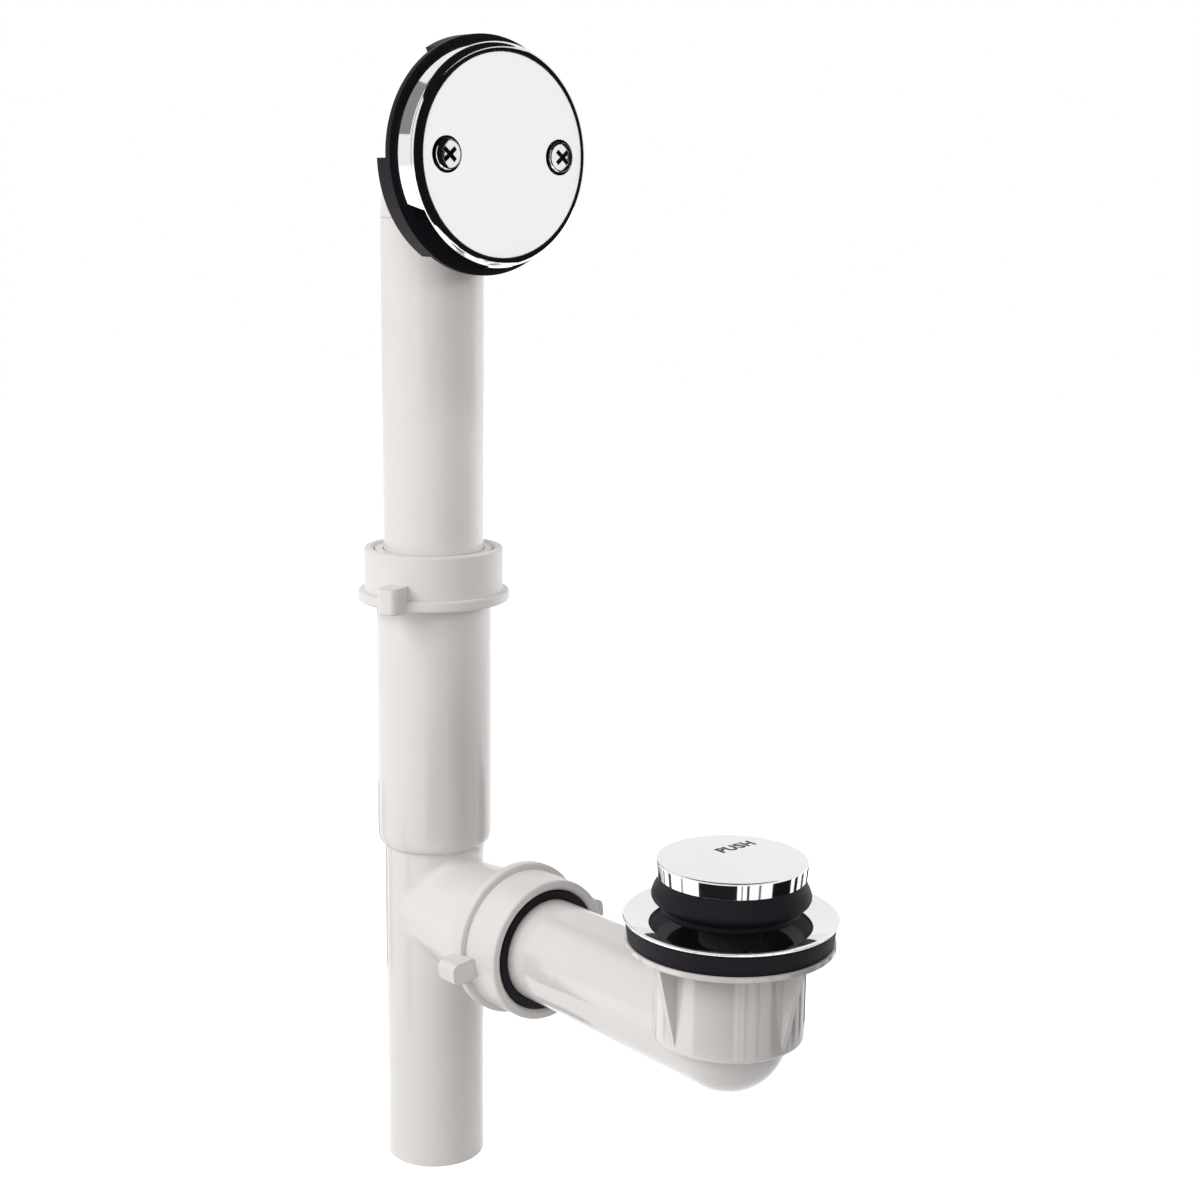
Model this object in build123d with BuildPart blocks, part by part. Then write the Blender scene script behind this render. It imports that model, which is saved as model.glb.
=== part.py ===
from build123d import *
import os
from math import cos, radians, sin

# Bath waste and overflow, in millimetres.
# The riser stands on the Z axis, the outlet tail ends at the origin and the bath drain lies along +X.

os.makedirs("parts", exist_ok=True)

# Tube sizes shared by the riser, the tail and the shoe
tube_od = 38.1
tube_wall = 2.0
slip_clearance = 0.3
washer_clearance = 0.08
glue_gap = 0.05
flat_gap = 0.05

# Tee
branch_height = 104.6
tee_wall = 2.6
tail_length = 50.0
tail_taper = 10.0
run_growth = 0.25
hub_root_r = 19.0
hub_r = 23.4
hub_fillet_r = 4.0
hub_to_nut = 3.0
branch_length = 61.0
stop_to_shoe = 14.5
shoulder_rise = 25.4
spigot_length = 25.0
tail_chamfer = 0.8

# Extension socket between the tee and the upper slip nut
extension_od = 44.0
extension_length = 107.0
foot_round_height = 5.5
foot_land = 0.9
slip_thread_r = 23.1
slip_thread_length = 10.0
mouth_chamfer = 2.15

# Slip nuts, one on the extension and one on the branch
nut_grip = 11.0
nut_length = 20.3
nut_end_wall = 3.3
nut_thread_clearance = 0.3
nut_flange_r = 28.8
nut_flange_height = 4.0
nut_barrel_r = 26.4
nut_opening_r = 22.6
nut_opening_bevel = 1.1
nut_lug_reach = 36.2
nut_lug_width = 8.0
nut_lug_corner_r = 2.5
nut_lug_height = 9.5
nut_round = 0.8
upper_lug_turn = -66.0
lower_lug_turn = -8.0
washer_recess = 0.6

# Riser and overflow elbow
overflow_height = 391.0
riser_insertion = 51.0
elbow_seam_drop = 22.0
elbow_bend_r = 20.0
elbow_spigot_length = 14.0
elbow_spigot_wall = 1.8
elbow_flange_r = 36.0
elbow_flange_thickness = 5.5
elbow_front_x = 29.8
elbow_mouth_r = 21.5
elbow_mouth_depth = 7.0
boss_r = 6.2
boss_length = 9.0
boss_rib_thickness = 3.0

# Overflow gasket
gasket_r = 41.9
gasket_bore_r = 30.0
gasket_thickness = 2.5
gasket_pad_depth = 5.0
pad_clearance = 0.3
lower_pad_start = 182.0
lower_pad_sweep = 55.0
top_pad_half_sweep = 30.0

# Overflow plate
plate_r = 39.9
plate_draft = 0.9
plate_depth = 10.3
plate_edge_r = 3.4
plate_sheet = 1.0
screw_spacing = 50.4
notch_depth = 8.6
notch_start = 24.0
notch_sweep = 63.0
notch_end_slant = 23.0
notch_overcut = 6.0
dimple_r = 6.3
dimple_floor_r = 5.6
dimple_depth = 0.8
dimple_back_r = 6.1

# Plate screws and their brass inserts
screw_r = 2.4
screw_hole_clearance = 0.3
screw_length = 18.7
screw_head_r = 5.4
screw_head_height = 2.6
screw_head_edge = 0.8
recess_width = 1.6
recess_span = 6.6
recess_depth = 1.8
insert_r = 4.0
insert_length = 10.0
insert_flute_count = 12
insert_flute_r = 0.45

# Drain shoe
drain_reach = 163.3
shoe_insertion = 25.0
shoe_rise = 32.6
shoe_flange_r = 35.0
shoe_flange_thickness = 1.8
shoe_body_r = 25.45
shoe_body_drop = 1.0
shoe_floor = 2.4
shoe_dome_r = 20.3
shoe_draft_length = 68.3
shoe_bore_clearance = 0.1
shoe_round = 1.2
gusset_reach = 33.0
gusset_thickness = 2.2
gusset_foot = 2.5

# Drain gasket and chromed drain body
drain_gasket_height = 7.1
drain_gasket_r = 35.2
drain_gasket_foot_r = 34.2
drain_flange_r = 35.9
drain_flange_thickness = 1.3
drain_dish = 3.3
drain_mouth_r = 27.2
drain_seat_r = 24.6
drain_seat_drop = 4.7
drain_bore_r = 21.0
drain_barrel_r = 23.3
drain_bowl_wall = 1.1
crossbar_height = 4.5
crossbar_width = 3.4
crossbar_hub_r = 8.0
crossbar_arms = 4

# Push stopper
press_travel = 9.0
stopper_lift = 4.3
pressed_cap_gap = 0.9
pressed_stem_gap = 0.4
guide_stop_gap = 0.3
seal_height = 11.6
seal_bulge_r = 26.7
seal_bulge_rise = 5.4
seal_foot_r = 24.0
seal_top_r = 24.6
seal_bore_r = 18.1
cap_r = 25.4
cap_height = 6.85
cap_sheet = 1.1
cap_dome = 0.5
cap_edge = 0.7
cap_gap = 0.15
retainer_thickness = 2.6
retainer_r = 22.2
stem_r = 10.5
spring_pocket_r = 8.2
guide_thickness = 3.0
guide_clearance = 0.08
chamber_r = 8.8
plunger_head_thickness = 2.6

# Stopper post, its retaining screw, the latch rotor and the spring
post_r = 4.5
post_thread_r = 4.76
post_neck_r = 4.2
post_foot_length = 6.5
post_screw_head_r = 6.2
post_screw_head_height = 2.0
post_screw_r = 1.9
post_screw_length = 8.0
rotor_r = 6.4
rotor_lug_r = 8.4
rotor_height = 4.0
rotor_lug_height = 2.3
rotor_lug_angle = 30.0
rotor_lug_turn = -42.0
latch_count = 3
latch_rib_inner_r = 7.3
latch_rib_angle = 20.0
latch_rib_height = 2.5
latched_rise = 1.5
spring_r = 6.3
spring_wire_r = 0.6
spring_turns = 5.5

# Places that follow from the sizes
tube_r = tube_od / 2
tube_bore_r = tube_r - tube_wall
socket_bore_r = tube_r + slip_clearance
run_r = tube_r + run_growth
spigot_seat_r = run_r + glue_gap
tee_bore_r = tube_r - tee_wall
extension_r = extension_od / 2
hub_end_x = branch_length - nut_grip - hub_to_nut
extension_foot_z = branch_height + shoulder_rise
extension_top_z = extension_foot_z + extension_length
riser_foot_z = extension_top_z - riser_insertion
elbow_seam_z = overflow_height - elbow_seam_drop
plate_rim_x = elbow_front_x + gasket_thickness
plate_face_x = plate_rim_x + plate_depth
screw_seat_x = plate_face_x - dimple_depth
shoe_tube_x = branch_length - shoe_insertion
branch_stop_x = shoe_tube_x - stop_to_shoe
shoe_top_z = branch_height + shoe_rise
shoe_body_z = branch_height - shoe_body_drop
drain_edge_z = shoe_top_z + drain_gasket_height + drain_flange_thickness
drain_mouth_z = drain_edge_z - drain_dish
drain_foot_z = branch_height + tube_bore_r
crossbar_top_z = drain_foot_z + crossbar_height
seal_foot_z = drain_mouth_z + stopper_lift
seal_top_z = seal_foot_z + seal_height
cap_foot_z = seal_top_z + cap_gap
cap_top_z = cap_foot_z + cap_height
cap_ceiling_z = cap_top_z - cap_sheet
post_screw_top_z = cap_ceiling_z - press_travel - pressed_cap_gap
post_top_z = post_screw_top_z - post_screw_head_height
rotor_foot_z = post_top_z - rotor_height - flat_gap
guide_top_z = rotor_foot_z - guide_stop_gap
guide_foot_z = guide_top_z - guide_thickness
stem_foot_z = crossbar_top_z + press_travel + pressed_stem_gap
latch_rib_z = rotor_foot_z + press_travel - latched_rise - latch_rib_height

upper_nut_seat = Plane(
    origin=(0, 0, extension_top_z - nut_grip),
    x_dir=(cos(radians(upper_lug_turn)), sin(radians(upper_lug_turn)), 0),
    z_dir=(0, 0, 1),
)
lower_nut_seat = Plane(
    origin=(branch_length - nut_grip, 0, branch_height),
    x_dir=(0, -cos(radians(lower_lug_turn)), sin(radians(lower_lug_turn))),
    z_dir=(1, 0, 0),
)
riser_section = Plane.XZ
branch_section = Plane(origin=(0, 0, branch_height), x_dir=(1, 0, 0), z_dir=(0, -1, 0))
overflow_section = Plane(origin=(0, 0, overflow_height), x_dir=(1, 0, 0), z_dir=(0, -1, 0))
drain_section = Plane(origin=(drain_reach, 0, 0), x_dir=(1, 0, 0), z_dir=(0, -1, 0))
branch_axis = Axis((0, 0, branch_height), (1, 0, 0))
overflow_axis = Axis((0, 0, overflow_height), (1, 0, 0))
drain_axis = Axis((drain_reach, 0, 0), (0, 0, 1))


def axial_section(seat):
    """Plane whose X runs outwards from the seat's axis and whose Y runs along it."""
    return Plane(origin=seat.origin, x_dir=seat.x_dir, z_dir=-seat.y_dir)


def facing_plane(x):
    """Plane square to the overflow's axis, with its X along +Y and its Y upwards."""
    return Plane(origin=(x, 0, overflow_height), x_dir=(0, 1, 0), z_dir=(1, 0, 0))


def drain_plane(z):
    """Level plane on the drain's axis."""
    return Plane(origin=(drain_reach, 0, z), x_dir=(1, 0, 0), z_dir=(0, 0, 1))


def draw_sector(inner_r, outer_r, start, sweep):
    """Outline between two radii over a sweep of degrees, drawn in the open line."""
    outer = CenterArc((0, 0), outer_r, start, sweep)
    inner = CenterArc((0, 0), inner_r, start, sweep)
    Line(outer @ 0, inner @ 0)
    Line(outer @ 1, inner @ 1)


def save(part, label):
    """Label a finished piece and write its STEP file."""
    part.label = label
    export_step(part, f"parts/{label}.step")


# Tee: tail, run, branch hub and the threaded nose that takes the lower slip nut
with BuildPart() as waste_tee:
    with BuildSketch(riser_section):
        with BuildLine():
            Polyline(
                (0, 0),
                (tube_r, 0),
                (tube_r, tail_length),
                (run_r, tail_length + tail_taper),
                (run_r, extension_foot_z + spigot_length),
                (0, extension_foot_z + spigot_length),
                close=True,
            )
        make_face()
    revolve(axis=Axis.Z)
    with BuildSketch(branch_section):
        with BuildLine():
            Polyline(
                (0, 0),
                (0, hub_root_r),
                (hub_end_x, hub_r),
                (hub_end_x, slip_thread_r),
                (branch_length, slip_thread_r),
                (branch_length, 0),
                close=True,
            )
        make_face()
    revolve(axis=branch_axis)
    fillet(waste_tee.edges(Select.LAST).filter_by(GeomType.BSPLINE), radius=hub_fillet_r)
    with BuildSketch():
        Circle(tee_bore_r)
    extrude(amount=extension_foot_z + spigot_length, mode=Mode.SUBTRACT)
    chamfer(waste_tee.edges().group_by(Axis.Z)[0].sort_by(SortBy.RADIUS)[0], length=tail_chamfer)
    with BuildSketch(branch_section):
        with BuildLine():
            Polyline(
                (0, 0),
                (0, tee_bore_r),
                (branch_stop_x, tee_bore_r),
                (branch_stop_x, socket_bore_r),
                (branch_length - mouth_chamfer, socket_bore_r),
                (branch_length, socket_bore_r + mouth_chamfer),
                (branch_length, 0),
                close=True,
            )
        make_face()
    revolve(axis=branch_axis, mode=Mode.SUBTRACT)
save(waste_tee.part, "waste_tee")

# Extension: glued over the tee's spigot, with a rounded foot and a threaded top
with BuildPart() as extension_socket:
    with BuildSketch(riser_section):
        with BuildLine():
            Line((spigot_seat_r, extension_foot_z), (tube_r + foot_land, extension_foot_z))
            Bezier(
                (tube_r + foot_land, extension_foot_z),
                (extension_r, extension_foot_z),
                (extension_r, extension_foot_z + foot_round_height),
            )
            Polyline(
                (extension_r, extension_foot_z + foot_round_height),
                (extension_r, extension_top_z - slip_thread_length),
                (slip_thread_r, extension_top_z - slip_thread_length + 1),
                (slip_thread_r, extension_top_z),
                (socket_bore_r + mouth_chamfer, extension_top_z),
                (socket_bore_r, extension_top_z - mouth_chamfer),
                (socket_bore_r, extension_foot_z + spigot_length + 1),
                (spigot_seat_r, extension_foot_z + spigot_length),
                (spigot_seat_r, extension_foot_z),
            )
        make_face()
    revolve(axis=Axis.Z)
save(extension_socket.part, "extension_socket")


def make_slip_nut(seat):
    """Flanged slip nut with two wing lugs, standing on its seat."""
    bore_r = slip_thread_r + nut_thread_clearance
    with BuildPart() as slip_nut:
        with BuildSketch(axial_section(seat)):
            with BuildLine():
                Polyline(
                    (bore_r, 0),
                    (nut_flange_r, 0),
                    (nut_flange_r, nut_flange_height),
                    (nut_barrel_r, nut_flange_height),
                    (nut_barrel_r, nut_length),
                    (nut_opening_r + nut_opening_bevel, nut_length),
                    (nut_opening_r, nut_length - nut_opening_bevel),
                    (nut_opening_r, nut_length - nut_end_wall),
                    (bore_r, nut_length - nut_end_wall),
                    close=True,
                )
            make_face()
        revolve(axis=Axis(seat.origin, seat.z_dir))
        along = seat.z_dir
        end_circles = slip_nut.edges().filter_by(GeomType.CIRCLE).sort_by(SortBy.RADIUS)
        flange_edges = end_circles.filter_by(lambda edge: edge.radius > nut_flange_r - 0.1)
        top_edge = end_circles.filter_by(
            lambda edge: abs(edge.radius - nut_barrel_r) < 0.1
            and (edge.arc_center - seat.origin).dot(along) > nut_length - 0.1
        )
        fillet(flange_edges + top_edge, radius=nut_round)
        lug_span = nut_lug_reach - nut_barrel_r + 1
        with BuildSketch(seat):
            with PolarLocations(nut_barrel_r - 1 + lug_span / 2, 2):
                RectangleRounded(lug_span, nut_lug_width, nut_lug_corner_r)
        extrude(amount=nut_lug_height)
        with BuildSketch(seat):
            Circle(bore_r)
        extrude(amount=nut_length - nut_end_wall, mode=Mode.SUBTRACT)
    return slip_nut.part


def make_slip_washer(seat):
    """Washer with a tapered nose in the socket's mouth and a collar in the nut's opening."""
    inner_r = tube_r + washer_clearance
    collar_r = nut_opening_r - slip_clearance
    mouth_r = socket_bore_r + mouth_chamfer
    nose_drop = mouth_chamfer - 0.4
    with BuildPart() as slip_washer:
        with BuildSketch(axial_section(seat)):
            with BuildLine():
                Polyline(
                    (inner_r, nut_grip - nose_drop),
                    (mouth_r - nose_drop - slip_clearance, nut_grip - nose_drop),
                    (mouth_r - slip_clearance, nut_grip + flat_gap),
                    (slip_thread_r, nut_grip + flat_gap),
                    (slip_thread_r, nut_length - nut_end_wall - flat_gap),
                    (collar_r, nut_length - nut_end_wall - flat_gap),
                    (collar_r, nut_length - washer_recess),
                    (socket_bore_r, nut_length - washer_recess),
                    (socket_bore_r, nut_length - nut_end_wall),
                    (inner_r, nut_length - nut_end_wall),
                    close=True,
                )
            make_face()
        revolve(axis=Axis(seat.origin, seat.z_dir))
    return slip_washer.part


save(make_slip_nut(upper_nut_seat), "upper_slip_nut")
save(make_slip_nut(lower_nut_seat), "lower_slip_nut")
save(make_slip_washer(upper_nut_seat), "upper_slip_washer")
save(make_slip_washer(lower_nut_seat), "lower_slip_washer")

# Riser: plain tube from inside the extension up to the overflow elbow
with BuildPart() as riser_tube:
    with BuildSketch(Plane.XY.offset(riser_foot_z)):
        Circle(tube_r)
        Circle(tube_bore_r, mode=Mode.SUBTRACT)
    extrude(amount=elbow_seam_z - riser_foot_z)
save(riser_tube.part, "riser_tube")

# Overflow elbow: spigot, quarter bend, round flange with a funnel mouth and two insert bosses
bend_start_z = overflow_height - elbow_bend_r
bend_axis = Axis((elbow_bend_r, 0, bend_start_z), (0, 1, 0))
with BuildPart() as overflow_elbow:
    with BuildSketch(Plane.XY.offset(elbow_seam_z + glue_gap)):
        Circle(tube_r)
    extrude(amount=bend_start_z - elbow_seam_z - glue_gap)
    with BuildSketch(Plane.XY.offset(bend_start_z)):
        Circle(tube_r)
    revolve(axis=bend_axis, revolution_arc=90)
    with BuildSketch(facing_plane(elbow_bend_r)):
        Circle(tube_r)
    extrude(amount=elbow_front_x - elbow_bend_r)
    with BuildSketch(facing_plane(elbow_front_x - elbow_flange_thickness)):
        Circle(elbow_flange_r)
    extrude(amount=elbow_flange_thickness)
    with BuildSketch(facing_plane(elbow_front_x - elbow_flange_thickness - boss_length)):
        with Locations((-screw_spacing / 2, 0), (screw_spacing / 2, 0)):
            Circle(boss_r)
        Rectangle(screw_spacing, boss_rib_thickness)
    extrude(amount=boss_length + 1)
    with BuildSketch(Plane.XY.offset(elbow_seam_z - elbow_spigot_length)):
        Circle(tube_bore_r - glue_gap)
    extrude(amount=elbow_spigot_length + 3)
    with BuildSketch(Plane.XY.offset(elbow_seam_z - elbow_spigot_length)):
        Circle(tube_bore_r - glue_gap - elbow_spigot_wall)
    extrude(amount=bend_start_z - elbow_seam_z + elbow_spigot_length, mode=Mode.SUBTRACT)
    with BuildSketch(Plane.XY.offset(bend_start_z)):
        Circle(tube_bore_r - glue_gap - elbow_spigot_wall)
    revolve(axis=bend_axis, revolution_arc=90, mode=Mode.SUBTRACT)
    with BuildSketch(overflow_section):
        with BuildLine():
            Polyline(
                (elbow_bend_r, 0),
                (elbow_bend_r, tube_bore_r - glue_gap - elbow_spigot_wall),
                (elbow_front_x - elbow_mouth_depth, tube_bore_r - glue_gap - elbow_spigot_wall),
                (elbow_front_x, elbow_mouth_r),
                (elbow_front_x, 0),
                close=True,
            )
        make_face()
    revolve(axis=overflow_axis, mode=Mode.SUBTRACT)
    with BuildSketch(facing_plane(elbow_front_x)):
        with Locations((-screw_spacing / 2, 0), (screw_spacing / 2, 0)):
            Circle(insert_r + glue_gap)
    extrude(amount=-insert_length, mode=Mode.SUBTRACT)
save(overflow_elbow.part, "overflow_elbow")


def make_insert(y):
    """Fluted brass insert for a plate screw, set flush in the elbow's boss."""
    with BuildPart() as insert:
        with BuildSketch(facing_plane(elbow_front_x - insert_length)):
            with Locations((y, 0)):
                Circle(insert_r)
                with PolarLocations(insert_r, insert_flute_count):
                    Circle(insert_flute_r, mode=Mode.SUBTRACT)
                Circle(screw_r + glue_gap, mode=Mode.SUBTRACT)
        extrude(amount=insert_length)
    return insert.part


def make_plate_screw(y):
    """Oval-headed screw with a cross recess turned by 45 degrees."""
    with BuildPart() as plate_screw:
        screw_section = Plane(origin=(screw_seat_x, y, overflow_height), x_dir=(1, 0, 0), z_dir=(0, -1, 0))
        with BuildSketch(screw_section):
            with BuildLine():
                Polyline(
                    (screw_head_height, 0),
                    (-screw_length, 0),
                    (-screw_length, screw_r - 0.6),
                    (0.8 - screw_length, screw_r),
                    (0, screw_r),
                    (0, screw_head_r),
                    (screw_head_edge, screw_head_r),
                )
                Bezier(
                    (screw_head_edge, screw_head_r),
                    (screw_head_height, 0.86 * screw_head_r),
                    (screw_head_height, 0),
                )
            make_face()
        revolve(axis=Axis((screw_seat_x, y, overflow_height), (1, 0, 0)))
        with BuildSketch(facing_plane(screw_seat_x + screw_head_height)):
            with Locations((y, 0)):
                Rectangle(recess_span, recess_width, rotation=45)
                Rectangle(recess_span, recess_width, rotation=-45)
        extrude(amount=-recess_depth, taper=10, mode=Mode.SUBTRACT)
    return plate_screw.part


save(make_insert(-screw_spacing / 2), "insert_left")
save(make_insert(screw_spacing / 2), "insert_right")
save(make_plate_screw(-screw_spacing / 2), "plate_screw_left")
save(make_plate_screw(screw_spacing / 2), "plate_screw_right")

# Overflow gasket: a front ring with three pads behind it that grip the elbow's flange
gasket_pads = [
    (lower_pad_start, lower_pad_sweep),
    (180 - lower_pad_start, -lower_pad_sweep),
    (90 - top_pad_half_sweep, 2 * top_pad_half_sweep),
]
with BuildPart() as overflow_gasket:
    with BuildSketch(facing_plane(elbow_front_x)):
        Circle(gasket_r)
        Circle(gasket_bore_r, mode=Mode.SUBTRACT)
    extrude(amount=gasket_thickness)
    with BuildSketch(facing_plane(elbow_front_x)):
        for start, sweep_angle in gasket_pads:
            with BuildLine():
                draw_sector(elbow_flange_r + pad_clearance, gasket_r, start, sweep_angle)
            make_face()
    extrude(amount=-gasket_pad_depth)
save(overflow_gasket.part, "overflow_gasket")

# Overflow plate: pressed sheet with a drafted skirt, dimpled screw holes and two water notches
with BuildPart() as overflow_plate:
    with BuildSketch(overflow_section):
        with BuildLine():
            skirt_top_r = plate_r - plate_draft
            face_r = skirt_top_r - plate_edge_r
            inner_edge_r = plate_edge_r - plate_sheet
            Line((plate_face_x - plate_sheet, 0), (plate_face_x, 0))
            Line((plate_face_x, 0), (plate_face_x, face_r))
            RadiusArc((plate_face_x, face_r), (plate_face_x - plate_edge_r, skirt_top_r), -plate_edge_r)
            Polyline(
                (plate_face_x - plate_edge_r, skirt_top_r),
                (plate_rim_x, plate_r),
                (plate_rim_x, plate_r - plate_sheet),
                (plate_face_x - plate_edge_r, skirt_top_r - plate_sheet),
            )
            RadiusArc(
                (plate_face_x - plate_edge_r, skirt_top_r - plate_sheet),
                (plate_face_x - plate_sheet, face_r),
                inner_edge_r,
            )
            Line((plate_face_x - plate_sheet, face_r), (plate_face_x - plate_sheet, 0))
        make_face()
    revolve(axis=overflow_axis)
    with BuildSketch(facing_plane(plate_face_x - plate_sheet)):
        with Locations((-screw_spacing / 2, 0), (screw_spacing / 2, 0)):
            Circle(dimple_back_r)
    extrude(amount=-dimple_depth)
    for y in (-screw_spacing / 2, screw_spacing / 2):
        with BuildSketch(Plane(origin=(plate_face_x, y, overflow_height), x_dir=(1, 0, 0), z_dir=(0, -1, 0))):
            with BuildLine():
                Polyline(
                    (0, 0),
                    (0, dimple_r),
                    (-dimple_depth, dimple_floor_r),
                    (-dimple_depth, screw_r + screw_hole_clearance),
                    (-dimple_depth - plate_sheet, screw_r + screw_hole_clearance),
                    (-dimple_depth - plate_sheet, 0),
                    close=True,
                )
            make_face()
        revolve(axis=Axis((plate_face_x, y, overflow_height), (1, 0, 0)), mode=Mode.SUBTRACT)
    with BuildSketch(facing_plane(plate_rim_x)):
        for start, sweep_angle in ((-notch_start, -notch_sweep), (180 + notch_start, notch_sweep)):
            with BuildLine():
                draw_sector(face_r - notch_overcut, plate_r + notch_overcut, start, sweep_angle)
            make_face()
    extrude(amount=notch_depth, taper=notch_end_slant, mode=Mode.SUBTRACT)
save(overflow_plate.part, "overflow_plate")

# Drain shoe: tube, dome elbow, threaded body, flange and gussets in one moulding
with BuildPart() as drain_shoe:
    with BuildSketch(branch_section):
        with BuildLine():
            Polyline(
                (shoe_tube_x, 0),
                (shoe_tube_x, tube_r - 0.5),
                (shoe_tube_x + 1, tube_r),
                (drain_reach - shoe_draft_length, tube_r),
                (drain_reach, shoe_dome_r),
                (drain_reach, 0),
                close=True,
            )
        make_face()
    revolve(axis=branch_axis)
    with Locations((drain_reach, 0, branch_height)):
        Sphere(shoe_dome_r)
    with BuildSketch(drain_section):
        with BuildLine():
            Line((0, shoe_body_z), (shoe_body_r - shoe_round, shoe_body_z))
            RadiusArc(
                (shoe_body_r - shoe_round, shoe_body_z),
                (shoe_body_r, shoe_body_z + shoe_round),
                -shoe_round,
            )
            Polyline((shoe_body_r, shoe_body_z + shoe_round), (shoe_body_r, shoe_top_z), (0, shoe_top_z))
            Line((0, shoe_top_z), (0, shoe_body_z))
        make_face()
    revolve(axis=drain_axis)
    with BuildSketch(drain_plane(shoe_top_z - shoe_flange_thickness)):
        Circle(shoe_flange_r)
    extrude(amount=shoe_flange_thickness)
    for turn in range(4):
        gusset_plane = Plane(
            origin=(drain_reach, 0, 0),
            x_dir=(cos(radians(90 * turn)), sin(radians(90 * turn)), 0),
            z_dir=(sin(radians(90 * turn)), -cos(radians(90 * turn)), 0),
        )
        with BuildSketch(gusset_plane):
            with BuildLine():
                Polyline(
                    (shoe_body_r - 1, shoe_top_z - shoe_flange_thickness / 2),
                    (gusset_reach, shoe_top_z - shoe_flange_thickness / 2),
                    (gusset_reach, shoe_top_z - shoe_flange_thickness - 1),
                    (shoe_body_r, shoe_body_z + gusset_foot),
                    (shoe_body_r - 1, shoe_body_z + gusset_foot),
                    close=True,
                )
            make_face()
        extrude(amount=gusset_thickness / 2, both=True)
    bore_r = drain_barrel_r + shoe_bore_clearance
    with BuildSketch(drain_section):
        with BuildLine():
            Polyline(
                (0, shoe_body_z + shoe_floor),
                (bore_r, shoe_body_z + shoe_floor),
                (bore_r, shoe_top_z - 2.4),
                (bore_r + 2.7, shoe_top_z),
                (0, shoe_top_z),
                close=True,
            )
        make_face()
    revolve(axis=drain_axis, mode=Mode.SUBTRACT)
    with BuildSketch(branch_section):
        with BuildLine():
            Polyline(
                (shoe_tube_x, 0),
                (shoe_tube_x, tube_bore_r),
                (drain_reach, tube_bore_r),
                (drain_reach, 0),
                close=True,
            )
        make_face()
    revolve(axis=branch_axis, mode=Mode.SUBTRACT)
    with Locations((drain_reach, 0, branch_height)):
        Sphere(tube_bore_r, mode=Mode.SUBTRACT)
save(drain_shoe.part, "drain_shoe")

# Drain gasket: rubber ring between the shoe's flange and the dished drain flange
dish_slope = drain_dish / (drain_flange_r - drain_mouth_r)
flange_under_z = drain_edge_z - drain_flange_thickness
bowl_outer_r = drain_mouth_r + drain_bowl_wall
seat_outer_r = drain_seat_r + drain_bowl_wall
seat_z = drain_mouth_z - drain_seat_drop
bowl_top_z = flange_under_z - dish_slope * (drain_flange_r - bowl_outer_r)
with BuildPart() as drain_gasket:
    with BuildSketch(drain_section):
        with BuildLine():
            Polyline(
                (seat_outer_r + 0.4, shoe_top_z),
                (drain_gasket_foot_r, shoe_top_z),
                (drain_gasket_r, flange_under_z - dish_slope * (drain_flange_r - drain_gasket_r) - flat_gap),
                (bowl_outer_r + 0.4, bowl_top_z - flat_gap),
                close=True,
            )
        make_face()
    revolve(axis=drain_axis)
save(drain_gasket.part, "drain_gasket")

# Drain body: dished chrome flange, seat for the stopper, threaded barrel and crossbar
with BuildPart() as drain_body:
    with BuildSketch(drain_section):
        with BuildLine():
            Polyline(
                (drain_mouth_r, drain_mouth_z),
                (drain_flange_r - drain_flange_thickness / 2, drain_edge_z),
            )
            ThreePointArc(
                (drain_flange_r - drain_flange_thickness / 2, drain_edge_z),
                (drain_flange_r, drain_edge_z - drain_flange_thickness / 2),
                (drain_flange_r - drain_flange_thickness / 2, flange_under_z),
            )
            Polyline(
                (drain_flange_r - drain_flange_thickness / 2, flange_under_z),
                (bowl_outer_r, bowl_top_z),
                (seat_outer_r, seat_z - 0.6),
                (drain_barrel_r, seat_z - 2.6),
                (drain_barrel_r, drain_foot_z),
                (drain_bore_r, drain_foot_z),
                (drain_bore_r, seat_z - 2.2),
                (drain_seat_r, seat_z),
                (drain_mouth_r - 0.3, drain_mouth_z - 1.1),
                (drain_mouth_r, drain_mouth_z),
            )
        make_face()
    revolve(axis=drain_axis)
    with BuildSketch(drain_plane(drain_foot_z)):
        Circle(crossbar_hub_r)
        with PolarLocations((crossbar_hub_r + drain_bore_r) / 2, crossbar_arms, start_angle=45):
            Rectangle(drain_bore_r - crossbar_hub_r + 2, crossbar_width)
    extrude(amount=crossbar_height)
    with BuildSketch(drain_plane(drain_foot_z)):
        Circle(post_thread_r + glue_gap)
    extrude(amount=crossbar_height, mode=Mode.SUBTRACT)
save(drain_body.part, "drain_body")

# Stopper post: threaded foot in the crossbar, plain shaft and a neck for the rotor
with BuildPart() as stopper_post:
    with BuildSketch(drain_section):
        with BuildLine():
            Polyline(
                (0, crossbar_top_z - post_foot_length),
                (post_thread_r - 0.6, crossbar_top_z - post_foot_length),
                (post_thread_r, crossbar_top_z - post_foot_length + 0.8),
                (post_thread_r, crossbar_top_z),
                (post_r, crossbar_top_z + 0.3),
                (post_r, rotor_foot_z - flat_gap),
                (post_neck_r, rotor_foot_z - flat_gap),
                (post_neck_r, post_top_z),
                (post_screw_r + glue_gap, post_top_z),
                (post_screw_r + glue_gap, post_top_z - post_screw_length - 0.5),
                (0, post_top_z - post_screw_length - 0.5),
                close=True,
            )
        make_face()
    revolve(axis=drain_axis)
save(stopper_post.part, "stopper_post")

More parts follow.
